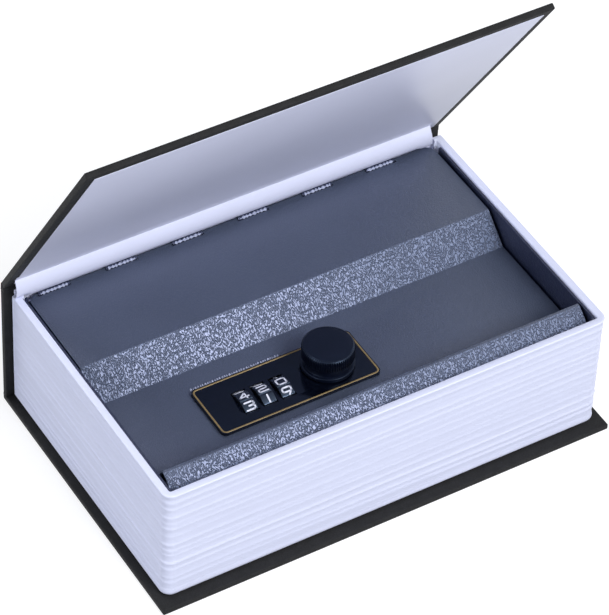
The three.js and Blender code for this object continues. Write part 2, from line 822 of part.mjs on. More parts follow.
function lockScrew() {
  const top = flatZ - 2 * seatGap - basePlateZ;
  return turned([
    [0, -screwHeadThick - glueGap], [screwHeadRadius * 0.6, -screwHeadThick - glueGap],
    [screwHeadRadius, -screwHeadThick * 0.5], [screwHeadRadius, -glueGap], [screwRadius, -glueGap],
    [screwRadius, top - screwRadius], [screwRadius * 0.5, top], [0, top],
  ], 12);
}

// Knob, drawn round its own axis from the top of the faceplate

function knobCap() {
  const base = knobRadius + 0.35;
  const waist = knobRadius - 0.8;
  const grip = knobRadius - knobToothDepth;
  const body = turned([
    [0, knobFoot], [base - 0.3, knobFoot], [base, knobFoot + 0.4], [base, 1.7], [base - 0.35, 2.3],
    [waist, 2.8], [waist, 4.4], [grip, knobGripFoot], [grip, knobHeight - knobEdge],
    [grip - 0.3 * knobEdge, knobHeight - 0.3 * knobEdge], [grip - knobEdge, knobHeight], [0, knobHeight],
  ], 36);
  const outline = [];
  for (let i = 0; i < 2 * knobTeeth; i += 1) {
    const angle = (i * Math.PI) / knobTeeth;
    const radius = i % 2 ? knobRadius : grip;
    outline.push(new THREE.Vector2(radius * Math.cos(angle), radius * Math.sin(angle)));
  }
  const teeth = upright(new THREE.Shape(outline), knobGripFoot, knobHeight - knobEdge);
  const bore = rodUp(spindleRadius + pressPlay, 0, 0, knobFoot - overcut, knobHeight - knobCrown, 24);
  return body.add(teeth).subtract(bore);
}

function knobSpindle() {
  const top = knobHeight - knobCrown - seatGap;
  const tongueTop = tongueTopZ - plateTopZ;
  const tip = tongueTop - tongueThick - nutThick - spindleTipLength;
  return turned([
    [0, tip], [spindleTipRadius * 0.8, tip], [spindleTipRadius, tip + spindleTipLength / 2],
    [spindleTipRadius, tongueTop + glueGap], [spindleRadius, tongueTop + glueGap],
    [spindleRadius, top], [0, top],
  ], 24);
}

// The tongue points along +X when the lock is open, and forward under the strike when it is shut
function latchTongue() {
  const shape = new THREE.Shape();
  const half = tongueWidth / 2;
  const lean = Math.asin(half / tongueHub);
  shape.absarc(0, 0, tongueHub, lean, 2 * Math.PI - lean, false);
  const tip = tongueReach - tongueCorner;
  shape.lineTo(tip, -half);
  shape.absarc(tip, tongueCorner - half, tongueCorner, -Math.PI / 2, 0, false);
  shape.lineTo(tongueReach, half - tongueCorner);
  shape.absarc(tip, half - tongueCorner, tongueCorner, 0, Math.PI / 2, false);
  const top = tongueTopZ - plateTopZ;
  const plate = upright(shape, top - tongueThick, top, 6);
  const hole = rodUp(spindleTipRadius + pressPlay, 0, 0, top - tongueThick - overcut, top + overcut);
  return plate.subtract(hole);
}

function tongueNut() {
  const top = tongueTopZ - plateTopZ - tongueThick - glueGap;
  const nut = rodUp(nutAcrossFlats / Math.sqrt(3), 0, 0, top - nutThick, top, 6);
  return nut.subtract(rodUp(spindleTipRadius + pressPlay, 0, 0, top - nutThick - overcut, top + overcut));
}

// Finishes

function finish(color, roughness, metalness) {
  return () => new THREE.MeshStandardMaterial({ color, roughness, metalness });
}

const leatherette = finish(0x2e3030, 0.6, 0);
const greyboard = finish(0x9a9288, 0.95, 0);
const whitePaper = finish(0xd4d4ea, 0.9, 0);
const pagePlastic = finish(0xe2e2f2, 0.55, 0);
const navySteel = finish(0x1c2438, 0.5, 0.3);
const greySteel = finish(0x565f70, 0.45, 0.35);
const glossBlack = finish(0x10131c, 0.15, 0);
const blackPlastic = finish(0x14161c, 0.35, 0);
const zincCast = finish(0x8c8f94, 0.45, 0.8);
const brightSteel = finish(0xb4b8be, 0.3, 1);
const springSteel = finish(0x9ba0a8, 0.25, 1);

function mesh(name, body, material) {
  const piece = new THREE.Mesh(geometryOf(body), material());
  piece.name = name;
  return piece;
}

function groupAt(x, y, z, pieces) {
  const group = new THREE.Group();
  group.position.set(x, y, z);
  group.add(...pieces);
  return group;
}

// Assembly

function frontCover() {
  const cover = groupAt(0, -bookHeight, 0, [
    mesh('front_board', frontBoard(), greyboard),
    mesh('front_wrap', frontWrap(), leatherette),
    mesh('front_endpaper', frontPaper(), whitePaper),
  ]);
  cover.rotation.x = THREE.MathUtils.degToRad(90 - coverOpenAngle);
  return cover;
}

// The spine group lies flat at its lower fold, turned up to stand behind the pages
function spine() {
  const group = groupAt(0, spineFace, 0, [
    mesh('spine_board', spineBoard(), greyboard),
    mesh('spine_wrap', spineWrap(), leatherette),
    mesh('spine_lining', spineLining(), whitePaper),
    frontCover(),
  ]);
  group.rotation.x = -Math.PI / 2;
  return group;
}

function backCover() {
  const group = groupAt(0, spineFace, 0, [
    mesh('back_board', backBoard(), greyboard),
    mesh('back_wrap', backWrap(), leatherette),
    mesh('back_endpaper', backPaper(), whitePaper),
  ]);
  group.rotation.y = Math.PI;
  return group;
}

function boxAndPages() {
  const screws = boxScrewPlaces().map(([x, y], i) => {
    const screw = mesh(`box_screw_${i + 1}`, boxScrew(), brightSteel);
    screw.position.set(x, y, boxFootZ + boxSheet);
    return screw;
  });
  return groupAt(0, 0, 0, [
    mesh('page_block', pageBlock(), pagePlastic),
    mesh('steel_box', steelBox(), navySteel),
    mesh('strike_bracket', strikeBracket(), navySteel),
    ...screws,
  ]);
}

function numberWheels() {
  return wheelCentres().map((x, i) => groupAt(x, wheelY, wheelZ, [
    mesh(`number_wheel_${i + 1}`, numberWheel(), blackPlastic),
    mesh(`gate_sleeve_${i + 1}`, gateSleeve(), zincCast),
  ]));
}

function lid() {
  const screws = lockScrewPlaces().map(([x, y], i) => {
    const screw = mesh(`lock_screw_${i + 1}`, lockScrew(), brightSteel);
    screw.position.set(x, y, basePlateZ);
    return screw;
  });
  const [leverX, leverY] = leverPlace();
  const lever = mesh('reset_lever', resetLever(), brightSteel);
  lever.position.set(leverX, leverY, basePlateZ);
  const knob = groupAt(knobX, knobY, plateTopZ, [
    mesh('knob_cap', knobCap(), blackPlastic),
    mesh('knob_spindle', knobSpindle(), brightSteel),
    mesh('latch_tongue', latchTongue(), brightSteel),
    mesh('tongue_nut', tongueNut(), brightSteel),
  ]);
  return groupAt(0, 0, 0, [
    mesh('lid_panel', lidPanel(), greySteel),
    mesh('lock_faceplate', lockFaceplate(), glossBlack),
    mesh('lock_housing', lockHousing(), zincCast),
    mesh('wheel_axle', wheelAxle(), brightSteel),
    mesh('detent_spring', detentSpring(), springSteel),
    mesh('lock_base_plate', lockBasePlate(), brightSteel),
    ...screws,
    lever,
    knob,
    ...numberWheels(),
  ]);
}

const safe = new THREE.Group();
safe.add(backCover(), spine(), boxAndPages(), lid());

export default safe;
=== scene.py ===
"""Looks of the book diversion safe.

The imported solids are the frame. Sizes are in millimetres in the part's frame: X runs along the spine,
+Y points to the spine and Z is up. The origin is the middle of the back cover's underside.
"""

from __future__ import annotations

import logging
import math
import random
from dataclasses import dataclass, field
from enum import Enum
from typing import Iterable, Sequence

import bmesh
import bpy
from mathutils import Matrix, Vector


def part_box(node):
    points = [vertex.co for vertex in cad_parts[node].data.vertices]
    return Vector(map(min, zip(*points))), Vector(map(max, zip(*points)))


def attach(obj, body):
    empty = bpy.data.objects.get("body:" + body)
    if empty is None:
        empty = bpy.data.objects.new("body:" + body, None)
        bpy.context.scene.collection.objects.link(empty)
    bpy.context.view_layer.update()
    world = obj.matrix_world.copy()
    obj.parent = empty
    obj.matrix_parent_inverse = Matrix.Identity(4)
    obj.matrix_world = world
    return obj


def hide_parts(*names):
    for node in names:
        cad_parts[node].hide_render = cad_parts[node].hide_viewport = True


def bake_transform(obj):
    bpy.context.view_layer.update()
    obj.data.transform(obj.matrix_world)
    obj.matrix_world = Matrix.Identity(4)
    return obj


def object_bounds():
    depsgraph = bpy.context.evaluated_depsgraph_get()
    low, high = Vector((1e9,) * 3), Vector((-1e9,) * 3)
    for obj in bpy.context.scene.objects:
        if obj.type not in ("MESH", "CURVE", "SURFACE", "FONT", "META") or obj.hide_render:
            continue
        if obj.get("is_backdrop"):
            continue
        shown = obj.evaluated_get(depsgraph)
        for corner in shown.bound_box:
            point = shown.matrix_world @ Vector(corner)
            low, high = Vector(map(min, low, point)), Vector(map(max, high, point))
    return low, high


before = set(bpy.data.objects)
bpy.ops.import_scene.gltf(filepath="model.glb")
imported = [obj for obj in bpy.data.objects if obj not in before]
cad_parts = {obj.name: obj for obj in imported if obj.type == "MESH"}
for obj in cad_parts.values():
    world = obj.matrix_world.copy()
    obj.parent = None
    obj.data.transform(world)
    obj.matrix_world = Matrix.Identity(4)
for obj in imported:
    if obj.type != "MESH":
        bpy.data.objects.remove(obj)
CAD_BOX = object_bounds()

MM = 0.001
Colour = tuple[float, float, float]
Point2 = tuple[float, float]
Point3 = tuple[float, float, float]
Material = bpy.types.Material
Piece = bpy.types.Object
Socket = bpy.types.NodeSocket
Tree = bpy.types.NodeTree

# The face attribute that notes slopes, and the upright part of a face's normal from which it counts as a
# slope, as a full slope and no longer as a wall
SLOPE_NOTE = "slope"
SLOPE_FROM = 0.985
SLOPE_FULL = 0.9
SLOPE_WALL = 0.25

log = logging.getLogger("book_safe")


class Body(Enum):
    """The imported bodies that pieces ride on."""

    BOX = "box"
    SPINE = "spine"
    COVER = "cover"
    LID = "lid"
    KNOB = "knob"
    RESET = "reset"
    WHEEL_1 = "wheel_1"
    WHEEL_2 = "wheel_2"
    WHEEL_3 = "wheel_3"


WHEELS = (Body.WHEEL_1, Body.WHEEL_2, Body.WHEEL_3)


class Space(Enum):
    """The coordinates that a pattern reads."""

    OBJECT = "Object"
    UV = "UV"


class Cells(Enum):
    """What cell noise measures."""

    BLOBS = "SMOOTH_F1"
    SEAMS = "DISTANCE_TO_EDGE"


class Cut(Enum):
    """What a cutting tool does."""

    TAKES_AWAY = "DIFFERENCE"
    KEEPS = "INTERSECT"


# Nodes


def join(tree: Tree, value: object, socket: Socket) -> None:
    """Links an input to a socket, or sets a plain value on it."""
    if isinstance(value, Socket):
        tree.links.new(value, socket)
    else:
        socket.default_value = value


def add_node(tree: Tree, kind: str, **inputs: object) -> bpy.types.Node:
    """Adds a node and fills its inputs, with _ for a space in their names.

    Args:
        tree: The tree that it goes into.
        kind: The node's type.
        inputs: A value or a socket for each input.

    Returns:
        The node.
    """
    made = tree.nodes.new(kind)
    for name, value in inputs.items():
        join(tree, value, made.inputs[name.replace("_", " ")])
    return made


def add_math(tree: Tree, how: str, a: Socket, b: Socket | float) -> Socket:
    """Adds a math node.

    Args:
        tree: The tree that it goes into.
        how: The operation, such as ADD or MULTIPLY.
        a: First value.
        b: Second value, a socket or a number.

    Returns:
        The result socket.
    """
    node = add_node(tree, "ShaderNodeMath")
    node.operation = how
    join(tree, a, node.inputs[0])
    join(tree, b, node.inputs[1])
    return node.outputs["Value"]


class ShaderSheet:
    """One procedural material, with short calls for the nodes that the finishes use."""

    def __init__(self, name: str, space: Space) -> None:
        """Starts the material.

        Args:
            name: The material's name.
            space: The coordinates that its patterns read.
        """
        self.material = bpy.data.materials.new(name)
        self.material.use_nodes = True
        self.tree = self.material.node_tree
        self.tree.nodes.clear()
        self.shader = add_node(self.tree, "ShaderNodeBsdfPrincipled")
        add_node(self.tree, "ShaderNodeOutputMaterial", Surface=self.shader.outputs["BSDF"])
        self.place = add_node(self.tree, "ShaderNodeTexCoord").outputs[space.value]

    def set(self, **values: object) -> None:
        """Sets plain values or links sockets on the shader's inputs, with _ for a space in their names."""
        for name, value in values.items():
            join(self.tree, value, self.shader.inputs[name.replace("_", " ")])

    def mapped(self, scale: Point3) -> Socket:
        """Returns the coordinates scaled along each axis."""
        return add_node(self.tree, "ShaderNodeMapping", Scale=scale, Vector=self.place).outputs["Vector"]

    def noise(
        self, size_mm: float, detail: float = 2.0, rough: float = 0.5, warp: float = 0.0,
        vector: Socket | None = None,
    ) -> Socket:
        """Adds smooth noise.

        Args:
            size_mm: Size of its largest blobs.
            detail: Octaves.
            rough: How strong the finer octaves are.
            warp: Distortion.
            vector: Coordinates, or the plain ones.

        Returns:
            The factor socket.
        """
        node = add_node(
            self.tree, "ShaderNodeTexNoise", Scale=1.0 / (size_mm * MM), Detail=detail, Roughness=rough,
            Distortion=warp, Vector=vector or self.place,
        )
        return node.outputs["Fac"]

    def cells(self, size_mm: float, measure: Cells) -> Socket:
        """Adds cell noise.

        Args:
            size_mm: Size of a cell.
            measure: What is measured in the cells.

        Returns:
            The distance socket.
        """
        node = add_node(self.tree, "ShaderNodeTexVoronoi")
        node.feature = measure.value
        join(self.tree, 1.0 / (size_mm * MM), node.inputs["Scale"])
        join(self.tree, self.place, node.inputs["Vector"])
        return node.outputs["Distance"]

    def noted(self, name: str) -> Socket:
        """Returns the value that the piece carries as an attribute of that name."""
        node = add_node(self.tree, "ShaderNodeAttribute")
        node.attribute_name = name
        return node.outputs["Fac"]

    def math(self, how: str, a: Socket, b: Socket | float) -> Socket:
        """Adds a math node of that operation and returns its result."""
        return add_math(self.tree, how, a, b)

    def weighted(self, first: tuple[Socket, float], second: tuple[Socket, float]) -> Socket:
        """Returns the sum of two values, each times its weight."""
        return self.math("ADD", self.math("MULTIPLY", *first), self.math("MULTIPLY", *second))

    def levels(
        self, fac: Socket, low: float = 0.3, high: float = 0.7, out_low: float = 0.0, out_high: float = 1.0,
    ) -> Socket:
        """Maps a factor's range to another range, clamped.

        Args:
            fac: The factor.
            low: Input that gives out_low.
            high: Input that gives out_high.
            out_low: Result at the low end.
            out_high: Result at the high end.

        Returns:
            The result socket.
        """
        node = add_node(
            self.tree, "ShaderNodeMapRange", From_Min=low, From_Max=high, To_Min=out_low, To_Max=out_high,
            Value=fac,
        )
        return node.outputs["Result"]

    def tinted(self, fac: Socket, colour: Colour, *stops: tuple[float, float]) -> Socket:
        """Makes a colour lighter and darker by a factor.

        Args:
            fac: The factor.
            colour: The colour.
            stops: Places of the factor and how light the colour is there, in order.

        Returns:
            The colour socket.
        """
        node = add_node(self.tree, "ShaderNodeValToRGB", Fac=fac)
        elements = node.color_ramp.elements
        while len(elements) < len(stops):
            elements.new(0.5)
        for element, (place, light) in zip(elements, stops):
            element.position = place
            element.color = (*(min(1.0, channel * light) for channel in colour), 1.0)
        return node.outputs["Color"]

    def emboss(self, *layers: tuple[Socket, float, float]) -> None:
        """Gives the surface its relief.

        Args:
            layers: Height, depth in millimetres of a height of 1, and strength. Each lies on the one before.
        """
        under: Socket | None = None
        for height, depth_mm, strength in layers:
            bump = add_node(
                self.tree, "ShaderNodeBump", Strength=strength, Distance=depth_mm * MM, Height=height,
            )
            if under is not None:
                join(self.tree, under, bump.inputs["Normal"])
            under = bump.outputs["Normal"]
        self.set(Normal=under)


def clamped(value: float) -> float:
    """Returns the value, held between 0 and 1."""
    return max(0.0, min(1.0, value))


def srgb(red: int, green: int, blue: int) -> Colour:
    """Turns 8-bit screen values into a linear colour.

    Args:
        red: 0 to 255.
        green: 0 to 255.
        blue: 0 to 255.

    Returns:
        The linear colour.
    """
    def linear(value: int) -> float:
        """Returns one channel's linear value."""
        share = value / 255
        return share / 12.92 if share <= 0.04045 else ((share + 0.055) / 1.055) ** 2.4

    return (linear(red), linear(green), linear(blue))


# Finishes


@dataclass(frozen=True)
class Finish:
    """A finish in one colour, which each kind paints in its own way."""

    colour: Colour
    space: Space = Space.OBJECT

    def paint(self, sheet: ShaderSheet) -> None:
        """Adds the finish's nodes to an empty sheet."""
        raise NotImplementedError

    def material(self, name: str) -> Material:
        """Returns the finish as a material of that name."""
        sheet = ShaderSheet(name, self.space)
        self.paint(sheet)
        return sheet.material


@dataclass(frozen=True)
class CrinkleCoat(Finish):
    """Powder coat whose skin dries in short raised wrinkles, deeper on faces that slope, where the wrinkles' colour
    is lightened as a painted highlight.
    """

    grain_mm: float = 0.66
    stretch: float = 0.5
    crease: float = 0.11
    depth_mm: float = 0.31
    roughness: float = 0.36
    flat_share: float = 0.2
    # How many times lighter the sloping wrinkles are coloured, a painted highlight of the light the slopes catch
    painted_glint: float = 2.7
    cloud_mm: float = 26.0
    gloss_tint: Colour = (0.72, 0.75, 1.0)

    def paint(self, sheet: ShaderSheet) -> None:
        """Creases the coat where stretched noise crosses its middle value."""
        along = sheet.mapped((1.0, self.stretch, self.stretch))
        wave = sheet.noise(self.grain_mm, 1.0, 0.4, warp=0.3, vector=along)
        wrinkles = sheet.levels(sheet.math("ABSOLUTE", sheet.math("SUBTRACT", wave, 0.5), 0.0), 0.0, self.crease)
        relief = sheet.weighted((wrinkles, 1.0), (sheet.noise(self.grain_mm * 3.0, detail=1.0), 0.5))
        slope = sheet.noted(SLOPE_NOTE)
        height = sheet.math("MULTIPLY", relief, sheet.levels(slope, 0.0, 1.0, self.flat_share, 1.0))
        cloud = sheet.noise(self.cloud_mm, detail=1.0)
        # Painted highlight: the wrinkles on sloping faces are coloured lighter, standing in for the light that the
        # slopes catch
        tone = sheet.weighted((cloud, 0.1), (sheet.math("MULTIPLY", wrinkles, slope), 0.9))
        sheet.emboss((height, self.depth_mm, 1.0))
        sheet.set(
            Base_Color=sheet.tinted(tone, self.colour, (0.02, 0.94), (0.1, 1.08), (1.0, self.painted_glint)),
            Roughness=sheet.levels(cloud, out_low=self.roughness - 0.01, out_high=self.roughness + 0.012),
            Specular_IOR_Level=1.0, Specular_Tint=(*self.gloss_tint, 1.0), Metallic=0.0,
        )


@dataclass(frozen=True)
class Leatherette(Finish):
    """Imitation leather on board, with a fine pebble grain."""

    grain_mm: float = 0.55
    crease_pitch: float = 1.7
    crease: float = 0.12
    cloud_mm: float = 3.0
    depth_mm: float = 0.05
    gloss: float = 0.14

    def paint(self, sheet: ShaderSheet) -> None:
        """Sets pebbles between fine creases."""
        pebbles = sheet.cells(self.grain_mm, Cells.BLOBS)
        creases = sheet.levels(sheet.cells(self.grain_mm * self.crease_pitch, Cells.SEAMS), 0.0, self.crease)
        tone = sheet.weighted((sheet.noise(self.cloud_mm), 0.6), (creases, 0.3))
        sheet.emboss((sheet.weighted((pebbles, -0.6), (creases, 0.5)), self.depth_mm, 0.8))
        sheet.set(
            Base_Color=sheet.tinted(tone, self.colour, (0.3, 0.8), (0.8, 1.15)),
            Roughness=sheet.levels(tone, 0.3, 0.8, 0.7, 0.58), Specular_IOR_Level=self.gloss,
        )


@dataclass(frozen=True)
class PaperStock(Finish):
    """Smooth paper with a faint felt of fibres."""

    fibre_mm: float = 0.5
    cockle_mm: float = 34.0
    roughness: float = 0.36
    gloss: float = 0.5

    def paint(self, sheet: ShaderSheet) -> None:
        """Lays fibres over wide shallow waves."""
        fibres = sheet.noise(self.fibre_mm, detail=4.0, rough=0.65)
        cockle = sheet.noise(self.cockle_mm, detail=1.0)
        tone = sheet.weighted((fibres, 0.3), (cockle, 0.7))
        sheet.emboss((cockle, 0.3, 0.3), (fibres, 0.01, 0.5))
        sheet.set(
            Base_Color=sheet.tinted(tone, self.colour, (0.3, 0.97), (0.7, 1.02)),
            Roughness=self.roughness, Specular_IOR_Level=self.gloss,
        )


@dataclass(frozen=True)
class PageStock(Finish):
    """Moulded white plastic that imitates the edges of gathered leaves."""

    leaf_mm: float = 0.34
    leaf_mm_along: float = 50.0
    band_scale: Point3 = (0.012, 0.012, 0.4)
    cloud_mm: float = 20.0
    gloss: float = 0.4

    def paint(self, sheet: ShaderSheet) -> None:
        """Draws level lines, fine ones for the leaves over wider bands."""
        along = 1.0 / self.leaf_mm_along
        leaves = sheet.noise(1.0, 3.0, 0.6, vector=sheet.mapped((along, along, 1.0 / self.leaf_mm)))
        bands = sheet.noise(1.0, vector=sheet.mapped(self.band_scale))
        tone = sheet.weighted((bands, 0.6), (leaves, 0.4))
        sheet.emboss((bands, 0.07, 0.4), (leaves, 0.04, 0.4))
        sheet.set(
            Base_Color=sheet.tinted(tone, self.colour, (0.3, 0.95), (0.7, 1.03)),
            Roughness=sheet.levels(sheet.noise(self.cloud_mm, detail=1.0), out_low=0.5, out_high=0.6),
            Specular_IOR_Level=self.gloss,
        )


@dataclass(frozen=True)
class MouldedPlastic(Finish):
    """Black moulded plastic, from satin to gloss."""

    roughness: float = 0.3
    texture_mm: float = 0.25
    texture_depth_mm: float = 0.01
    gloss: float = 0.5
    gloss_tint: Colour = (0.5, 0.68, 1.0)
    smear_mm: float = 7.0

    def paint(self, sheet: ShaderSheet) -> None:
        """Varies the gloss in soft smears over a fine texture."""
        smear = sheet.noise(self.smear_mm, warp=0.6)
        low, high = self.roughness * 0.85, self.roughness * 1.2
        sheet.emboss((sheet.noise(self.texture_mm), self.texture_depth_mm, 1.0))
        sheet.set(
            Base_Color=sheet.tinted(smear, self.colour, (0.3, 0.85), (0.7, 1.15)),
            Roughness=sheet.levels(smear, out_low=low, out_high=high),
            Specular_IOR_Level=self.gloss, Specular_Tint=(*self.gloss_tint, 1.0),
        )


@dataclass(frozen=True)
class PlatedSteel(Finish):
    """Bright plated steel, drawn or stamped."""

    roughness: float = 0.28
    drawn: Point3 = (1.0, 14.0, 14.0)
    line_mm: float = 3.0
    cloud_mm: float = 5.0

    def paint(self, sheet: ShaderSheet) -> None:
        """Draws fine lines along X."""
        lines = sheet.noise(self.line_mm, detail=3.0, vector=sheet.mapped(self.drawn))
        low, high = self.roughness * 0.8, self.roughness * 1.35
        sheet.emboss((lines, 0.01, 0.6))
        sheet.set(
            Base_Color=sheet.tinted(sheet.noise(self.cloud_mm), self.colour, (0.3, 0.86), (0.7, 1.05)),
            Roughness=sheet.levels(lines, out_low=low, out_high=high), Metallic=1.0,
        )


@dataclass(frozen=True)
class CastMetal(Finish):
    """Raw die cast metal with a pebbled skin."""

    skin_mm: float = 0.5
    flow_mm: float = 6.0
    depth_mm: float = 0.03

    def paint(self, sheet: ShaderSheet) -> None:
        """Pebbles the skin over wide flow marks."""
        skin = sheet.noise(self.skin_mm, detail=3.0)
        flow = sheet.noise(self.flow_mm, warp=1.0)
        sheet.emboss((skin, self.depth_mm, 1.0))
        sheet.set(
            Base_Color=sheet.tinted(flow, self.colour, (0.3, 0.8), (0.7, 1.1)),
            Roughness=sheet.levels(skin, out_low=0.38, out_high=0.56), Metallic=0.9,
        )


@dataclass(frozen=True)
class PrintedInk(Finish):
    """Thin opaque ink, such as the digits and the line on the plate."""

    roughness: float = 0.45
    metallic: float = 0.0
    wear_mm: float = 0.7

    def paint(self, sheet: ShaderSheet) -> None:
        """Thins the ink in small spots."""
        wear = sheet.noise(self.wear_mm, detail=3.0)
        low, high = self.roughness + 0.1, self.roughness - 0.05
        sheet.set(
            Base_Color=sheet.tinted(wear, self.colour, (0.3, 0.8), (0.65, 1.0)),
            Roughness=sheet.levels(wear, out_low=low, out_high=high), Metallic=self.metallic,
        )


LEATHER_BLACK = srgb(37, 37, 38)
PAPER_WHITE = srgb(220, 223, 244)
PAGE_WHITE = srgb(224, 228, 250)
LID_GREY = srgb(68, 76, 93)
# The box's coat is a much darker navy than the lid's grey: painted shade for its walls and tabs inside the box
BOX_NAVY_SHADED = srgb(26, 32, 52)

FINISHES: dict[str, Finish] = {
    "lid_crinkle": CrinkleCoat(LID_GREY),
    "shaded_box_crinkle": CrinkleCoat(BOX_NAVY_SHADED),
    # A pale coat whose colour is a painted highlight, for the lip and the tab crimps where they catch the light
    "painted_glint_crinkle": CrinkleCoat(srgb(150, 156, 178), grain_mm=0.5, depth_mm=0.1, painted_glint=1.3),
    "leatherette": Leatherette(LEATHER_BLACK),
    "leatherette_fold": Leatherette(LEATHER_BLACK, Space.UV),
    "endpaper": PaperStock(PAPER_WHITE),
    "gutter_paper": PaperStock(PAPER_WHITE, Space.UV),
    "page_plastic": PageStock(PAGE_WHITE),
    "plate_gloss": MouldedPlastic(srgb(4, 6, 16), roughness=0.14, texture_depth_mm=0.003, gloss=0.42),
    "wheel_plastic": MouldedPlastic(srgb(14, 16, 24), roughness=0.26, gloss=0.8),
    "knob_plastic": MouldedPlastic(srgb(5, 8, 22), roughness=0.33, texture_depth_mm=0.02, gloss=0.36),
    "gold_ink": PrintedInk(srgb(146, 124, 82), roughness=0.42, metallic=0.25),
    "white_ink": PrintedInk(srgb(228, 231, 246)),
    "plated_steel": PlatedSteel(srgb(186, 190, 196)),
    "spring_steel": PlatedSteel(srgb(168, 172, 178), roughness=0.2),
    "cast_metal": CastMetal(srgb(150, 152, 158)),
}


class Palette(dict[str, Material]):
    """Hands out the finishes and makes each of them once, when it is first asked for."""

    def __missing__(self, name: str) -> Material:
        """Makes the finish of that name."""
        self[name] = FINISHES[name].material(name)
        return self[name]


# Meshes


def metres(points: Iterable[Point3]) -> list[Point3]:
    """Returns points in millimetres as points in metres."""
    return [(x * MM, y * MM, z * MM) for x, y, z in points]


def add_object(name: str, data: bpy.types.ID) -> Piece:
    """Makes an object of a mesh, a camera or a light, and adds it to the scene."""
    made = bpy.data.objects.new(name, data)
    bpy.context.scene.collection.objects.link(made)
    return made


def mesh_object(name: str, points: Iterable[Point3], faces: Iterable[Sequence[int]]) -> Piece:
    """Makes a mesh object.

    Args:
        name: The piece's name.
        points: Corners in millimetres.
        faces: Corner numbers of each face.

    Returns:
        The object, at the origin.
    """
    mesh = bpy.data.meshes.new(name)
    mesh.from_pydata(metres(points), [], [tuple(face) for face in faces])
    mesh.update()
    return add_object(name, mesh)


def object_from(name: str, work: bmesh.types.BMesh) -> Piece:
    """Makes an object of a bmesh and frees the bmesh."""
    mesh = bpy.data.meshes.new(name)
    work.to_mesh(mesh)
    work.free()
    return add_object(name, mesh)


def smooth(piece: Piece, sharp_degrees: float = 35.0) -> Piece:
    """Shades a piece smooth up to an angle.

    Args:
        piece: The piece.
        sharp_degrees: Edges steeper than this stay sharp.

    Returns:
        The same piece.
    """
    mesh = piece.data
    mesh.polygons.foreach_set("use_smooth", [True] * len(mesh.polygons))
    mesh.set_sharp_from_angle(angle=math.radians(sharp_degrees))
    mesh.update()
    return piece


def outward(piece: Piece) -> Piece:
    """Turns a closed piece's faces outwards and returns the piece."""
    work = bmesh.new()
    work.from_mesh(piece.data)
    bmesh.ops.recalc_face_normals(work, faces=work.faces)
    work.to_mesh(piece.data)
    work.free()
    return piece


def with_slopes_noted(piece: Piece) -> Piece:
    """Notes on each face how far it slopes, from 0 to 1, for the coat's relief and its painted highlight.

    Args:
        piece: The finished piece.

    Returns:
        The same piece, with the note as a face attribute.
    """
    values = []
    for face in piece.data.polygons:
        upright = face.normal.z
        share = clamped((SLOPE_FROM - upright) / (SLOPE_FROM - SLOPE_FULL))
        values.append(share if upright > SLOPE_WALL else 0.0)
    note = piece.data.attributes.new(SLOPE_NOTE, "FLOAT", "FACE")
    note.data.foreach_set("value", values)
    return piece


def applied(piece: Piece) -> Piece:
    """Applies a piece's modifiers.

    Args:
        piece: A piece with live modifiers.

    Returns:
        The same object, with the result as its mesh.
    """
    bpy.context.view_layer.update()
    evaluated = piece.evaluated_get(bpy.context.evaluated_depsgraph_get())
    mesh = bpy.data.meshes.new_from_object(evaluated)
    piece.modifiers.clear()
    old = piece.data
    piece.data = mesh
    if old.users == 0:
        bpy.data.meshes.remove(old)
    return piece


def removed(piece: Piece) -> None:
    """Deletes a helper object."""
    bpy.data.objects.remove(piece, do_unlink=True)


def cut(piece: Piece, tool: Piece, how: Cut = Cut.TAKES_AWAY) -> Piece:
    """Cuts a piece by a tool and deletes the tool.

    Args:
        piece: The piece.
        tool: The cutting body.
        how: What the tool does.

    Returns:
        The piece.
    """
    modifier = piece.modifiers.new("cut", "BOOLEAN")
    modifier.operation = how.value
    modifier.solver = "EXACT"
    modifier.object = tool
    applied(piece)
    removed(tool)
    return piece


def bevelled(
    piece: Piece, width_mm: float, segments: int = 2, over_degrees: float = 32.0,
) -> Piece:
    """Rounds a piece's sharp edges.

    Args:
        piece: The piece.
        width_mm: Width of the rounding.
        segments: Faces across it.
        over_degrees: Only edges steeper than this are rounded.

    Returns:
        The piece.
    """
    modifier = piece.modifiers.new("edge", "BEVEL")
    modifier.width = width_mm * MM
    modifier.segments = segments
    modifier.limit_method = "ANGLE"
    modifier.angle_limit = math.radians(over_degrees)
    modifier.use_clamp_overlap = True
    modifier.harden_normals = False
    return applied(piece)


def box_object(name: str, low: Point3, high: Point3) -> Piece:
    """Makes a plain block, used to cut other pieces.

    Args:
        name: Its name.
        low: Lowest corner in millimetres.
        high: Highest corner in millimetres.

    Returns:
        The object.
    """
    (x0, y0, z0), (x1, y1, z1) = low, high
    points = [(x0, y0, z0), (x1, y0, z0), (x1, y1, z0), (x0, y1, z0),
              (x0, y0, z1), (x1, y0, z1), (x1, y1, z1), (x0, y1, z1)]
    faces = [(3, 2, 1, 0), (4, 5, 6, 7), (0, 1, 5, 4), (1, 2, 6, 5), (2, 3, 7, 6), (3, 0, 4, 7)]
    return mesh_object(name, points, faces)


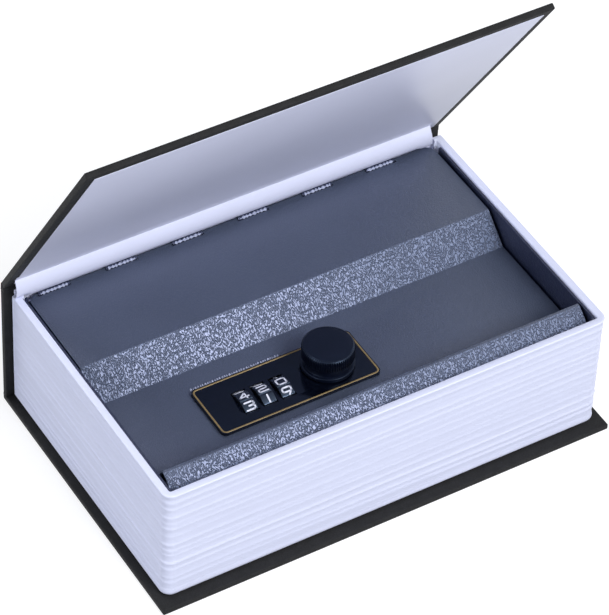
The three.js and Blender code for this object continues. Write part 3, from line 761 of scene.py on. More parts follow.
def plan_outline(
    x: tuple[float, float], y: tuple[float, float], front: float, rear: float,
    arc_steps: int, long_steps: int, short_steps: int,
) -> list[Point2]:
    """Samples a rounded rectangle, always with the same number of points.

    Args:
        x: Lowest and highest X.
        y: Lowest and highest Y.
        front: Radius of the two corners at low Y.
        rear: Radius of the two corners at high Y.
        arc_steps: Steps in each corner.
        long_steps: Steps in each side along X.
        short_steps: Steps in each side along Y.

    Returns:
        The points, anticlockwise from the front left corner's end.
    """
    corners = [
        ((x[1] - front, y[0] + front), front, -90.0, short_steps),
        ((x[1] - rear, y[1] - rear), rear, 0.0, long_steps),
        ((x[0] + rear, y[1] - rear), rear, 90.0, short_steps),
        ((x[0] + front, y[0] + front), front, 180.0, long_steps),
    ]
    points: list[Point2] = []
    for i, ((cx, cy), radius, start, steps) in enumerate(corners):
        for step in range(arc_steps + 1):
            angle = math.radians(start + 90.0 * step / arc_steps)
            points.append((cx + radius * math.cos(angle), cy + radius * math.sin(angle)))
        (nx, ny), next_radius, next_start, _ = corners[(i + 1) % 4]
        angle = math.radians(next_start)
        end = (nx + next_radius * math.cos(angle), ny + next_radius * math.sin(angle))
        last = points[-1]
        for step in range(1, steps):
            share = step / steps
            points.append((last[0] + (end[0] - last[0]) * share, last[1] + (end[1] - last[1]) * share))
    return points


def ring_faces(count: int, rings: int, closed: bool) -> list[tuple[int, int, int, int]]:
    """Joins rings of points by faces.

    Args:
        count: Points in a ring.
        rings: Number of rings.
        closed: Whether the last ring joins the first.

    Returns:
        The faces.
    """
    faces = []
    for ring in range(rings if closed else rings - 1):
        low, high = ring * count, ((ring + 1) % rings) * count
        for i in range(count):
            j = (i + 1) % count
            faces.append((low + i, low + j, high + j, high + i))
    return faces


def capped_faces(count: int, rings: int) -> list[Sequence[int]]:
    """Joins rings of points by faces and closes the first and the last ring.

    Args:
        count: Points in a ring.
        rings: Number of rings.

    Returns:
        The faces.
    """
    last = (rings - 1) * count
    ends = [tuple(reversed(range(count))), tuple(range(last, last + count))]
    return [*ring_faces(count, rings, False), *ends]


def along_x(name: str, outline: Sequence[Point2], stations: Sequence[float]) -> Piece:
    """Pulls an outline of (y, z) points along X, closed at both ends.

    Args:
        name: The piece's name.
        outline: The outline's points.
        stations: X of each section, in order.

    Returns:
        The piece.
    """
    points = [(x, y, z) for x in stations for y, z in outline]
    return outward(mesh_object(name, points, capped_faces(len(outline), len(stations))))


def beaded(
    name: str, reach: Point2, profile: Sequence[Point2], place: Point2, pitch: float,
) -> Piece:
    """Draws a row of small uneven swellings along X, which sink away between each other.

    Args:
        name: The object's name.
        reach: First and last X.
        profile: The swelling's outline, as (y, z) offsets.
        place: The (y, z) the offsets start from.
        pitch: The distance between two swellings.

    Returns:
        The row.
    """
    sections_a_pitch = 7
    outline = [(place[0] + y, place[1] + z) for y, z in profile]
    row = along_x(name, outline, spread(reach[0], reach[1], pitch / sections_a_pitch))
    foot = Vector((0.0, place[0], place[1])) * MM
    for vertex in row.data.vertices:
        beat = vertex.co.x / MM / pitch * 2 * math.pi
        swell = 0.55 + 0.5 * math.sin(beat + 0.8 * math.sin(beat * 0.31)) + 0.14 * math.sin(beat * 0.43)
        swell = max(0.06, min(1.0, swell))
        vertex.co.y = foot.y + (vertex.co.y - foot.y) * (0.5 + 0.5 * swell)
        vertex.co.z = foot.z + (vertex.co.z - foot.z) * swell
    return smooth(row, 60)


def circle(steps: int) -> list[Point2]:
    """Returns even points round a circle of radius 1."""
    turns = [2 * math.pi * i / steps for i in range(steps)]
    return [(math.cos(turn), math.sin(turn)) for turn in turns]


def lathe(name: str, profile: Sequence[Point2], centre: Point3, steps: int) -> Piece:
    """Turns a profile of (radius, height) points round Z.

    Args:
        name: The piece's name.
        profile: From the lower end of the axis to its upper end.
        centre: Where the axis and height 0 are.
        steps: Faces round the axis.

    Returns:
        The closed piece.
    """
    x, y, z = centre
    points: list[Point3] = [(x, y, z + profile[0][1])]
    for radius, height in profile[1:-1]:
        points += [(x + radius * u, y + radius * v, z + height) for u, v in circle(steps)]
    points.append((x, y, z + profile[-1][1]))
    rings = len(profile) - 2
    last = len(points) - 1
    start = last - steps
    faces: list[Sequence[int]] = [(0, 1 + (i + 1) % steps, 1 + i) for i in range(steps)]
    faces += [tuple(corner + 1 for corner in face) for face in ring_faces(steps, rings, False)]
    faces += [(last, start + i, start + (i + 1) % steps) for i in range(steps)]
    return outward(mesh_object(name, points, faces))


def rounded_path(corners: Sequence[Point2], radius: float, steps: int = 8) -> list[Point2]:
    """Rounds the inner corners of an open path.

    Args:
        corners: The path's corners.
        radius: Radius of each bend.
        steps: Steps in each bend.

    Returns:
        The points.
    """
    path: list[Vector] = [Vector(corners[0])]
    for i in range(1, len(corners) - 1):
        here = Vector(corners[i])
        before = (here - Vector(corners[i - 1])).normalized()
        after = (Vector(corners[i + 1]) - here).normalized()
        turn = math.atan2(before.x * after.y - before.y * after.x, before.dot(after))
        start = here - before * radius * math.tan(abs(turn) / 2)
        side = math.copysign(1.0, turn)
        centre = start + Vector((-before.y, before.x)) * radius * side
        for step in range(steps + 1):
            angle = turn * step / steps
            arm = Vector((before.y, -before.x)) * side * radius
            path.append(centre + Matrix.Rotation(angle, 2) @ arm)
    path.append(Vector(corners[-1]))
    return [(point.x, point.y) for point in path]


def sheet_outline(path: Sequence[Point2], thick: float, feather: int = 0) -> list[Point2]:
    """Gives an open path an even thickness.

    Args:
        path: The middle of the sheet.
        thick: Its thickness.
        feather: Over how many last points it thins out.

    Returns:
        The closed outline.
    """
    sides: tuple[list[Point2], list[Point2]] = ([], [])
    last = len(path) - 1
    for i, point in enumerate(path):
        along = (Vector(path[min(i + 1, last)]) - Vector(path[max(i - 1, 0)])).normalized()
        share = min(1.0, (last - i + 0.4) / feather) if feather else 1.0
        across = Vector((-along.y, along.x)) * thick * share / 2
        sides[0].append((point[0] + across.x, point[1] + across.y))
        sides[1].append((point[0] - across.x, point[1] - across.y))
    return sides[0] + sides[1][::-1]


def spread(low: float, high: float, step: float) -> list[float]:
    """Returns even stations from low to high, about a step apart."""
    count = max(1, round((high - low) / step))
    return [low + (high - low) * i / count for i in range(count + 1)]


def softened(name: str, node: str, width_mm: float, segments: int = 2) -> Piece:
    """Copies a node's solid and rounds its edges.

    Args:
        name: The piece's name.
        node: The node to copy.
        width_mm: Width of the rounding.
        segments: Faces across it.

    Returns:
        The piece.
    """
    work = bmesh.new()
    work.from_mesh(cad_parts[node].data)
    bmesh.ops.remove_doubles(work, verts=work.verts, dist=2e-7)
    bmesh.ops.dissolve_limit(work, angle_limit=math.radians(0.6), verts=work.verts, edges=work.edges)
    piece = object_from(name, work)
    return smooth(bevelled(piece, width_mm, segments))


def lengthwise_uv(piece: Piece, path: Sequence[Point2]) -> Piece:
    """Gives a strip along X a map of metres along X and along its section.

    Args:
        piece: The strip.
        path: The section's path, as (y, z) in millimetres.

    Returns:
        The piece.
    """
    lengths = [0.0]
    for a, b in zip(path, path[1:]):
        lengths.append(lengths[-1] + math.dist(a, b))
    layer = piece.data.uv_layers.new(name="UVMap")
    for loop in piece.data.loops:
        place = piece.data.vertices[loop.vertex_index].co
        here = (place.y / MM, place.z / MM)
        nearest = min(range(len(path)), key=lambda i: math.dist(path[i], here))
        layer.data[loop.index].uv = (place.x, lengths[nearest] * MM)
    return piece


# Geometry Nodes


class NodeRecipe:
    """A Geometry Nodes tree with named inputs, run once and turned into a plain mesh."""

    def __init__(self, name: str, **kinds: str) -> None:
        """Starts the tree with its named inputs, besides its centre and its material.

        Args:
            name: The tree's name.
            kinds: The kind of each input, such as Float or Object.
        """
        self.tree = bpy.data.node_groups.new(name, "GeometryNodeTree")
        for way in ("INPUT", "OUTPUT"):
            self.tree.interface.new_socket("Geometry", in_out=way, socket_type="NodeSocketGeometry")
        self.identifiers: dict[str, str] = {}
        for key, kind in {**kinds, "Centre": "Vector", "Material": "Material"}.items():
            item = self.tree.interface.new_socket(key, in_out="INPUT", socket_type=f"NodeSocket{kind}")
            self.identifiers[key] = item.identifier
        self.entry = self.node("NodeGroupInput")

    def node(self, kind: str, **inputs: object) -> bpy.types.Node:
        """Adds a node and fills its inputs, with _ for a space in their names."""
        return add_node(self.tree, kind, **inputs)

    def __getitem__(self, name: str) -> Socket:
        """Returns the named input's socket inside the tree."""
        return self.entry.outputs[name]

    def finish(self, geometry: Socket) -> NodeRecipe:
        """Moves the geometry to the centre and ends in Realize Instances and Set Material.

        Args:
            geometry: What the tree has made, round the origin.

        Returns:
            The finished recipe.
        """
        moved = self.node("GeometryNodeTransform", Geometry=geometry, Translation=self["Centre"])
        real = self.node("GeometryNodeRealizeInstances", Geometry=moved.outputs["Geometry"])
        dressed = self.node(
            "GeometryNodeSetMaterial", Geometry=real.outputs["Geometry"], Material=self["Material"],
        )
        self.node("NodeGroupOutput", Geometry=dressed.outputs["Geometry"])
        return self

    def run(self, name: str, **sizes: object) -> Piece:
        """Runs the tree.

        Args:
            name: The piece's name.
            sizes: A value for each named input.

        Returns:
            The piece as a plain mesh.
        """
        holder = add_object(name, bpy.data.meshes.new(name))
        modifier = holder.modifiers.new("recipe", "NODES")
        modifier.node_group = self.tree
        for key, value in sizes.items():
            modifier[self.identifiers[key]] = value
        return applied(holder)


def ring_recipe() -> NodeRecipe:
    """Returns a tree that stands copies of one shape evenly round a centre."""
    recipe = NodeRecipe("ring_of_copies", Shape="Object", Count="Int", Radius="Float")
    ring = recipe.node("GeometryNodeMeshCircle", Vertices=recipe["Count"], Radius=recipe["Radius"])
    position = recipe.node("GeometryNodeInputPosition")
    turn = recipe.node("FunctionNodeAlignRotationToVector", Vector=position.outputs["Position"])
    turn.axis = "X"
    source = recipe.node("GeometryNodeObjectInfo", Object=recipe["Shape"])
    copies = recipe.node(
        "GeometryNodeInstanceOnPoints", Points=ring.outputs["Mesh"], Instance=source.outputs["Geometry"],
        Rotation=turn.outputs["Rotation"],
    )
    return recipe.finish(copies.outputs["Instances"])


def line_recipe() -> NodeRecipe:
    """Returns a tree that lays a flat line of even width along a rounded rectangle."""
    recipe = NodeRecipe(
        "line_on_plate", Length="Float", Depth="Float", Corner="Float", Width="Float", Thickness="Float",
    )
    rectangle = "GeometryNodeCurvePrimitiveQuadrilateral"
    path = recipe.node(rectangle, Width=recipe["Length"], Height=recipe["Depth"])
    bends = recipe.node("GeometryNodeFilletCurve")
    bends.mode = "POLY"
    for name, value in (("Curve", path.outputs["Curve"]), ("Radius", recipe["Corner"]), ("Count", 8)):
        join(recipe.tree, value, bends.inputs[name])
    section = recipe.node(rectangle, Width=recipe["Width"], Height=recipe["Thickness"])
    swept = recipe.node(
        "GeometryNodeCurveToMesh", Curve=bends.outputs["Curve"], Profile_Curve=section.outputs["Curve"],
    )
    return recipe.finish(swept.outputs["Mesh"])


# Pieces


def settle(piece: Piece, body: Body, slot: str, finish: Material, *nodes: str) -> None:
    """Dresses a finished piece and ties it to its body.

    Args:
        piece: The piece, in place.
        body: The body that it rides on.
        slot: The record's slot that its finish comes from; not used.
        finish: Its material.
        nodes: The nodes that it replaces.
    """
    piece.data.materials.clear()
    piece.data.materials.append(finish)
    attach(piece, body.value)
    if nodes:
        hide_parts(*nodes)
    log.info("%s on %s: %d faces", piece.name, body.value, len(piece.data.polygons))


@dataclass
class CasePanel:
    """One board of the case in its leatherette, drawn flat and then put in its place."""

    name: str
    body: Body
    near: float
    far: float
    thick: float
    place: Matrix
    stands_for: tuple[str, ...]
    left: float = -90.0
    right: float = 90.0
    edge: float = 0.42
    rounded_far: bool = True
    touch: float = 1e-6

    def build(self) -> Piece:
        """Returns the covered board: a slab whose free edges are rounded by the leatherette."""
        work = bmesh.new()
        bmesh.ops.create_cube(work, size=1.0)
        size = Vector((self.right - self.left, self.far - self.near, self.thick))
        middle = Vector(((self.left + self.right) / 2, -(self.near + self.far) / 2, -self.thick / 2))
        for vertex in work.verts:
            vertex.co = Vector(a * b for a, b in zip(vertex.co, size)) + middle
        open_ends = [-self.near] if self.rounded_far else [-self.near, -self.far]
        edges = [
            edge for edge in work.edges
            if not any(all(abs(v.co.y - end) < self.touch for v in edge.verts) for end in open_ends)
        ]
        bmesh.ops.bevel(
            work, geom=edges, offset=self.edge, offset_type="OFFSET", segments=4, profile=0.5, affect="EDGES",
        )
        for vertex in work.verts:
            vertex.co = (self.place @ vertex.co) * MM
        return smooth(object_from(self.name, work), 50)

    def dress(self, palette: Palette) -> None:
        """Builds the board and ties it to its body."""
        settle(self.build(), self.body, "leatherette", palette["leatherette"], *self.stands_for)


# How far each step of the paper over the upper fold leans back in degrees, from its foot to the cover. Below 0
# it leans forward
GUTTER_LEANS = (-60, -54, -47, -38, -29, -21, -14, -8, -2, 4, 9, 14, 18, 22, 25, 28)


@dataclass
class BookCase:
    """The hardback case: two covers, the spine, their papers and the two folds."""

    length: float = 180.0
    depth: float = 116.0
    height: float = 56.5
    reach: float = 117.5
    open_angle: float = 58.6
    trim: float = 3.0
    thick: float = 2.3
    fold_gap: float = 0.7
    fold_lap: float = 0.2
    spine_low: float = 2.9
    spine_high: float = 53.65
    paper_thick: float = 0.2
    glue: float = 0.05
    gutter_reach: float = 7.8
    gutter_step: float = 0.6
    gutter_thick: float = 0.2
    gutter_left: float = -87.5
    gutter_right: float = 81.9
    gutter_slant: float = 1.7
    gutter_tuck: float = 1.7
    gutter_lift: float = 1.15
    gutter_droop: float = 0.85
    gutter_foot: float = 51.1
    gutter_rise: float = 9.0
    gutter_ends: float = 7.2
    gutter_behind: float = 3.0
    rim_face: float = 52.6
    rear_slot: float = 54.9

    @property
    def left(self) -> float:
        """X of the book's left end."""
        return -self.length / 2

    @property
    def right(self) -> float:
        """X of the right end of the spine and the front cover, which are trimmed a little."""
        return self.length / 2 - self.trim

    @property
    def back_face(self) -> float:
        """Y of the spine's outer face."""
        return self.depth / 2

    def spine_place(self) -> Matrix:
        """Returns the placing of the flat spine panel."""
        return Matrix.Translation((0, self.back_face, 0)) @ Matrix.Rotation(-math.pi / 2, 4, "X")

    def cover_place(self) -> Matrix:
        """Returns the placing of the flat front cover."""
        lean = math.radians(90 - self.open_angle)
        return self.spine_place() @ Matrix.Translation((0, -self.height, 0)) @ Matrix.Rotation(lean, 4, "X")

    def back_place(self) -> Matrix:
        """Returns the placing of the flat back cover."""
        return Matrix.Translation((0, self.back_face, 0)) @ Matrix.Rotation(math.pi, 4, "Y")

    def on_cover(self, along: float, inward: float) -> Point2:
        """Finds a point of the open cover's section.

        Args:
            along: Distance from the fold along the cover.
            inward: Distance from its outer face to the inside.

        Returns:
            The point as (y, z).
        """
        place = self.cover_place() @ Vector((0, -along, -inward))
        return (place.y, place.z)

    def fold_strip(self, name: str, outline: Sequence[Point2]) -> Piece:
        """Makes the leatherette that bends at a fold, its two ends rounded as the boards are.

        Args:
            name: The piece's name.
            outline: Its section.

        Returns:
            The strip.
        """
        edge = CasePanel.edge
        middle = [sum(p[i] for p in outline) / len(outline) for i in (0, 1)]
        ends = [(edge * share, edge * (1 - math.sqrt(1 - (1 - share) ** 2))) for share in (0.0, 0.3, 0.65)]
        rings = [(self.left + run, inset) for run, inset in ends]
        rings += [(x, 0.0) for x in spread(self.left + edge, self.right - edge, 9.0)]
        rings += [(self.right - run, inset) for run, inset in reversed(ends)]
        points: list[Point3] = []
        for x, inset in rings:
            for y, z in outline:
                away = Vector((y - middle[0], z - middle[1]))
                scale = max(0.0, 1 - inset / max(away.length, 1e-6))
                points.append((x, middle[0] + away.x * scale, middle[1] + away.y * scale))
        strip = outward(mesh_object(name, points, capped_faces(len(outline), len(rings))))
        return lengthwise_uv(smooth(strip, 50), outline)

    def top_fold(self) -> list[Point2]:
        """Returns the section of the fold between the spine and the front cover."""
        inner = self.back_face - self.thick
        near, low = self.fold_gap + self.fold_lap, self.spine_high - self.fold_lap
        corners = [(self.back_face, low), (self.back_face, self.height), self.on_cover(near, 0)]
        return rounded_path(corners, 0.9, 5) + [self.on_cover(near, self.thick), (inner, low)]

    def bottom_fold(self) -> list[Point2]:
        """Returns the section of the fold between the back cover and the spine."""
        inner = self.back_face - self.thick
        near, high = self.back_face - self.fold_gap - self.fold_lap, self.spine_low + self.fold_lap
        corners = [(near, 0.0), (self.back_face, 0.0), (self.back_face, high)]
        return rounded_path(corners, 0.6, 5) + [(inner, high), (inner, self.thick + 0.1), (near, self.thick)]

    def gutter(self) -> list[Point2]:
        """Returns the middle of the white paper that swells forward between the cover and the spine."""
        inside = self.thick + self.glue + self.paper_thick + 0.04
        lining = self.back_face - self.thick - self.glue - 0.4
        low = rounded_path([
            (lining - 0.14, self.spine_high - 9.6), (lining - 0.2, self.gutter_foot - 1.4),
            (lining - 0.7, self.gutter_foot), (lining - 2.0, self.gutter_foot + 0.1),
        ], 0.5, 3)
        face: list[Point2] = []
        y, z = low[-1]
        for lean in GUTTER_LEANS:
            y += math.sin(math.radians(lean)) * self.gutter_step
            z += math.cos(math.radians(lean)) * self.gutter_step
            face.append((y, z))
        top = self.on_cover(self.gutter_reach, inside)
        gap = (top[0] - face[-1][0], top[1] - face[-1][1])
        count = len(face)
        face = [(y + gap[0] * i / count, z + gap[1] * i / count) for i, (y, z) in enumerate(face, 1)]
        tail = [self.on_cover(self.gutter_reach + reach, inside) for reach in (0.7, 1.5, 2.4, 3.4)]
        return low + face + tail

    def dress(self, palette: Palette) -> None:
        """Builds the case and ties its boards, endpapers and lining to their bodies; the strips at the folds and the
        gutter paper are tied to none.
        """
        panels = [
            CasePanel("front_cover_leather", Body.COVER, self.fold_gap, self.reach, self.thick,
                      self.cover_place(), ("front_wrap", "front_board"), right=self.right),
            CasePanel("back_cover_leather", Body.BOX, self.fold_gap, self.depth, self.thick,
                      self.back_place(), ("back_wrap", "back_board")),
            CasePanel("spine_leather", Body.SPINE, self.spine_low, self.spine_high, self.thick,
                      self.spine_place(), ("spine_wrap", "spine_board"), right=self.right, rounded_far=False),
        ]
        for panel in panels:
            panel.dress(palette)
        for node, body in (("front_endpaper", Body.COVER), ("back_endpaper", Body.BOX), ("spine_lining", Body.SPINE)):
            paper = softened(f"{node}_paper", node, 0.06)
            settle(paper, body, "white_paper", palette["endpaper"], node)
        self.dress_folds(palette)

    def dress_folds(self, palette: Palette) -> None:
        """Builds the strips that bend at the folds."""
        top = self.fold_strip("top_fold_leather", self.top_fold())
        self.bend(top, palette["leatherette_fold"], "leatherette", (Body.SPINE, Body.COVER),
                  (0, self.back_face, self.spine_high), (0, self.back_face - 0.3, self.height + 1.2))
        bottom = self.fold_strip("bottom_fold_leather", self.bottom_fold())
        self.bend(bottom, palette["leatherette_fold"], "leatherette", (Body.BOX, Body.SPINE),
                  (0, self.back_face - 0.6, -0.2), (0, self.back_face - 0.1, self.spine_low))
        path = self.gutter()
        left, right = self.gutter_left, self.gutter_right
        stations = [
            *spread(left, left + 6.4, 0.8), *spread(left + 13.0, right - 8.0, 7.0), *spread(right - 7.2, right, 0.8),
        ]
        outline = sheet_outline(path, self.gutter_thick, feather=4)
        gutter = smooth(along_x("gutter_paper", outline, stations), 40)
        lengthwise_uv(gutter, path)
        self.slant_end(gutter)
        self.bend(gutter, palette["gutter_paper"], "white_paper", (Body.SPINE, Body.COVER),
                  (0, self.back_face - 3.2, self.spine_high + 0.4), (0, self.back_face - 4.6, self.height + 4.0))

    def slant_end(self, gutter: Piece) -> None:
        """Shapes the paper's two ends: a slanted right end, and a left end that clears the rim of the pages.

        Args:
            gutter: The paper, with straight ends.
        """
        for vertex in gutter.data.vertices:
            x, y, z = (value / MM for value in vertex.co)
            under = z < self.height
            rise = clamped((z - self.gutter_foot) / self.gutter_rise)
            low = clamped((y - self.rim_face) / 0.8) if under else 0.0
            behind = self.gutter_behind if under and y > self.rear_slot else 0.0
            right = max(0.0, 1 - (self.gutter_right - x) / self.gutter_ends)
            left = max(0.0, 1 - (x - self.gutter_left) / self.gutter_ends)
            vertex.co.x += (right * (behind - rise * self.gutter_slant) + left * low * self.gutter_tuck) * MM
            if rise < 0.5 and z > self.gutter_foot - 0.3:
                raised = clamped((left - 0.2) * 9) * self.gutter_lift
                droop = min(1.0, right * 2) * self.gutter_droop
                vertex.co.z += (raised - droop) * (1 - rise * 2) * MM

    def bend(
        self, piece: Piece, finish: Material, slot: str, bodies: tuple[Body, Body],
        start: Point3, end: Point3,
    ) -> None:
        """Gives a strip its finish and bakes its placing into its mesh; it is tied to no body.

        Args:
            piece: The strip.
            finish: Its material.
            slot: The record's slot; not used.
            bodies: The body before the fold and the one after it.
            start: Where it would stop following the first; not used.
            end: Where it would follow the second, both in millimetres; not used.
        """
        piece.data.materials.append(finish)
        bodies[0].value
        bodies[1].value
        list(metres([start, end]))
        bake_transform(piece)
        log.info("%s bends between %s and %s", piece.name, bodies[0].value, bodies[1].value)


@dataclass
class PageBlock:
    """The moulded block of pages, with an edge like gathered leaves.

    Each ridge is its height, its strength, its phase along the edge and its width.
    """

    half: float = 87.4
    front: float = -53.9
    rear: float = 54.8
    foot: float = 2.6
    rim: float = 52.0
    wall: float = 2.9
    rear_wall: float = 1.9
    rear_drop: float = 4.8
    front_corner: float = 4.0
    rear_corner: float = 0.6
    inner_corner: float = 0.9
    ledge: float = 14.0
    ledge_thick: float = 1.5
    foot_round: float = 1.6
    rim_round: float = 0.45
    ribs: int = 14
    rib_depth: float = 0.27
    ribs_below_rim: float = 2.2
    foot_relief: float = 0.15
    foot_fade: float = 1.2
    rim_fade: float = 1.6
    level_step: float = 0.34
    plan_steps: tuple[int, int, int] = (8, 62, 38)
    seed: int = 7
    ridges: list[tuple[float, float, float, float]] = field(default_factory=list)

    def __post_init__(self) -> None:
        """Places the ridges with uneven spacing and height."""
        dice = random.Random(self.seed)
        low, high = self.foot + self.foot_round, self.rim - self.ribs_below_rim
        pitch = (high - low) / self.ribs
        for i in range(self.ribs):
            z = low + (i + 0.5 + dice.uniform(-0.24, 0.24)) * pitch
            strength, phase, width = dice.uniform(0.55, 1.0), dice.uniform(0, 6.3), dice.uniform(0.8, 1.5)
            self.ridges.append((z, strength, phase, width))

    def swell(self, z: float, along: float) -> float:
        """Measures how far the edge stands out.

        Args:
            z: Height of the point.
            along: Its distance round the block, in millimetres.

        Returns:
            The height of the relief, from 0 to 1.
        """
        relief = 0.0
        for place, strength, phase, width in self.ridges:
            drift = 0.22 * math.sin(along / 31.0 + phase) + 0.12 * math.sin(along / 11.0 + 2 * phase)
            fade = 0.72 + 0.28 * math.sin(along / 43.0 + 3 * phase)
            offset = z - place - drift
            reach = 0.5 if offset > 0 else width
            relief = max(relief, strength * fade * math.exp(-((offset / reach) ** 2)))
        fine = 0.06 * math.sin(z * 7.3 + 0.8 * math.sin(along / 17.0)) + 0.04 * math.sin(z * 12.9 + along / 60.0)
        return clamped(0.9 * relief + 0.06 + fine)

    def levels(self) -> list[tuple[float, float, float]]:
        """Returns height, inset and share of the relief for each ring of the outer face."""
        rings: list[tuple[float, float, float]] = []
        for i in range(7):
            angle = math.radians(90 * i / 6)
            z = self.foot + self.foot_round * (1 - math.cos(angle))
            rings.append((z, self.foot_round * (1 - math.sin(angle)), self.foot_relief * i / 6))
        low, high = self.foot + self.foot_round, self.rim - self.rim_round
        for z in spread(low, high, self.level_step)[1:]:
            rings.append((z, 0.0, clamped(min((z - low) / self.foot_fade, (high - z) / self.rim_fade))))
        for i in range(1, 6):
            angle = math.radians(90 * i / 5)
            z = self.rim - self.rim_round * (1 - math.sin(angle))
            rings.append((z, self.rim_round * (1 - math.cos(angle)), 0.0))
        return rings

    def outer_ring(self, z: float, inset: float, share: float) -> list[Point3]:
        """Makes one ring of the outer face.

        Args:
            z: Its height.
            inset: How far the rounding draws it in.
            share: How much of the relief shows.

        Returns:
            The ring's points.
        """
        plan = plan_outline(
            (-self.half + inset, self.half - inset), (self.front + inset, self.rear - inset / 4),
            self.front_corner - inset / 2, max(0.3, self.rear_corner - inset / 4), *self.plan_steps,
        )
        ring: list[Point3] = []
        along = 0.0
        count = len(plan)
        for i, (x, y) in enumerate(plan):
            ahead, behind = Vector(plan[(i + 1) % count]), Vector(plan[i - 1])
            tangent = (ahead - behind).normalized()
            normal = Vector((tangent.y, -tangent.x))
            depth = self.rib_depth * (0.9 + 0.8 * abs(normal.x))
            draw = 0.0 if normal.y > 0.7 else share * depth * (1 - self.swell(z, along))
            ring.append((x - normal.x * draw, y - normal.y * draw, z))
            along += math.dist(plan[i], plan[(i + 1) % count])
        return ring

    def inner_ring(self, z: float, inset: float, ledge: float = 0.0) -> list[Point3]:
        """Makes one ring of the well.

        Args:
            z: Its height.
            inset: How far the rounding opens it.
            ledge: How far it lies inside the well's wall.

        Returns:
            The ring's points.
        """
        half = self.half - self.wall + inset - ledge
        front = self.front + self.wall - inset + ledge
        rear = self.rear - self.rear_wall + inset / 2 - ledge
        corner = self.inner_corner
        plan = plan_outline((-half, half), (front, rear), corner, corner, *self.plan_steps)
        return [(x, y, z) for x, y in plan]

    def build(self) -> Piece:
        """Returns the block: ribbed outside, rounded rim, plain well, ledge and open foot."""
        over = self.foot + self.ledge_thick
        well = (
            (self.rim, 0.45), (self.rim - 0.12, 0.2), (self.rim - 0.45, 0.0),
            (over, 0.0), (over, 0.0, self.ledge), (self.foot, 0.0, self.ledge),
        )
        rings = [self.outer_ring(*level) for level in self.levels()] + [self.inner_ring(*level) for level in well]
        points = [point for ring in rings for point in ring]
        block = outward(mesh_object("page_edges", points, ring_faces(len(rings[0]), len(rings), True)))
        clear = self.half - self.wall - self.inner_corner
        tool = box_object(
            "rear_cut", (-clear, self.rear - self.rear_wall - 1, self.rim - self.rear_drop),
            (clear, self.rear + 1, self.rim + 1),
        )
        return smooth(cut(block, tool), 40)

    def dress(self, palette: Palette) -> None:
        """Builds the block and ties it to the book."""
        settle(self.build(), Body.BOX, "page_plastic", palette["page_plastic"], "page_block")


# X of the middle of each hinge tab
TABS = tuple(-72.1 + 26.5 * i for i in range(6))


@dataclass
class SteelLid:
    """The bent lid sheet with its hinge slots and the opening for the lock.

    The channel's, the ridge's and the front's places are distances from fore_edge. The hole stays inside the
    lock's housing by hole_left, hole_right and hole_edge.
    """

    half: float = 82.3
    fore_edge: float = -58.0
    rear: float = 53.8
    top: float = 49.95
    flat: float = 40.6
    sheet: float = 0.7
    bend: float = 0.85
    channel_rear: float = 72.8
    channel_rear_foot: float = 62.1
    channel_front_foot: float = 22.0
    ridge: float = 15.7
    ridge_height: float = 11.9
    front: float = 8.6
    front_drop: float = 5.7
    rear_corner: float = 4.0
    hinge_y: float = 53.35
    curl: float = 1.15
    slot_play: float = 0.4
    strip: float = 0.9
    tab_width: float = 12.0
    hole_left: float = 6.0
    hole_right: float = 7.6
    hole_edge: float = 1.2
    edge: float = 0.16
    lip_x: tuple[float, float] = (-50.5, -15.5)
    lip_bead: float = 0.95
    lip_y: float = -4.6

    def profile(self) -> list[Point2]:
        """Returns the middle of the bent sheet as (y, z) points."""
        mid = self.sheet / 2
        corners = [
            (self.rear, self.top - mid),
            (self.fore_edge + self.channel_rear, self.top - mid),
            (self.fore_edge + self.channel_rear_foot, self.flat - mid),
            (self.fore_edge + self.channel_front_foot, self.flat - mid),
            (self.fore_edge + self.ridge, self.flat + self.ridge_height - mid),
            (self.fore_edge + self.front, self.flat + self.ridge_height - mid - self.front_drop),
        ]
        return rounded_path(corners, self.bend, 8)

    def build(self) -> Piece:
        """Returns the sheet, trimmed, slotted and with its edges eased."""
        lid = along_x("lid_sheet", sheet_outline(self.profile(), self.sheet), [-self.half, self.half])
        depth = (self.fore_edge + self.front - 1, self.rear)
        plan = plan_outline((-self.half, self.half), depth, 1.5, self.rear_corner, 8, 1, 1)
        points = [(x, y, z) for z in (self.flat - 5, self.top + 9) for x, y in plan]
        cut(lid, outward(mesh_object("lid_plan", points, capped_faces(len(plan), 2))), Cut.KEEPS)
        wide = self.tab_width / 2 + self.slot_play
        for x in TABS:
            cut(lid, box_object(
                "hinge_slot", (x - wide, self.hinge_y - self.curl - self.slot_play, self.top - 3),
                (x + wide, self.hinge_y - self.strip / 2, self.top + 1),
            ))
        low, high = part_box("lock_housing")
        cut(lid, box_object(
            "lock_hole", (low.x / MM + self.hole_left, low.y / MM + self.hole_edge, self.flat - 3),
            (high.x / MM - self.hole_right, high.y / MM - self.hole_edge, self.flat + 1),
        ))
        return smooth(bevelled(lid, self.edge, 2, 40), 40)

    def lip(self) -> Piece:
        """Returns the raised edge that the pressing tool leaves behind the plate."""
        profile = ((-0.75, 0.0), (-0.55, 0.3), (-0.1, 0.78), (0.06, 0.82), (0.25, 0.74), (0.6, 0.0))
        return beaded("plate_lip", self.lip_x, profile, (self.lip_y, self.flat - 0.1), self.lip_bead)

    def dress(self, palette: Palette) -> None:
        """Builds the lid and ties it to its body."""
        lid, lip = with_slopes_noted(self.build()), with_slopes_noted(self.lip())
        settle(lid, Body.LID, "grey_steel", palette["lid_crinkle"], "lid_panel")
        # The lip's pale coat is a painted highlight of the pressed edge catching the light
        settle(lip, Body.LID, "grey_steel", palette["painted_glint_crinkle"])


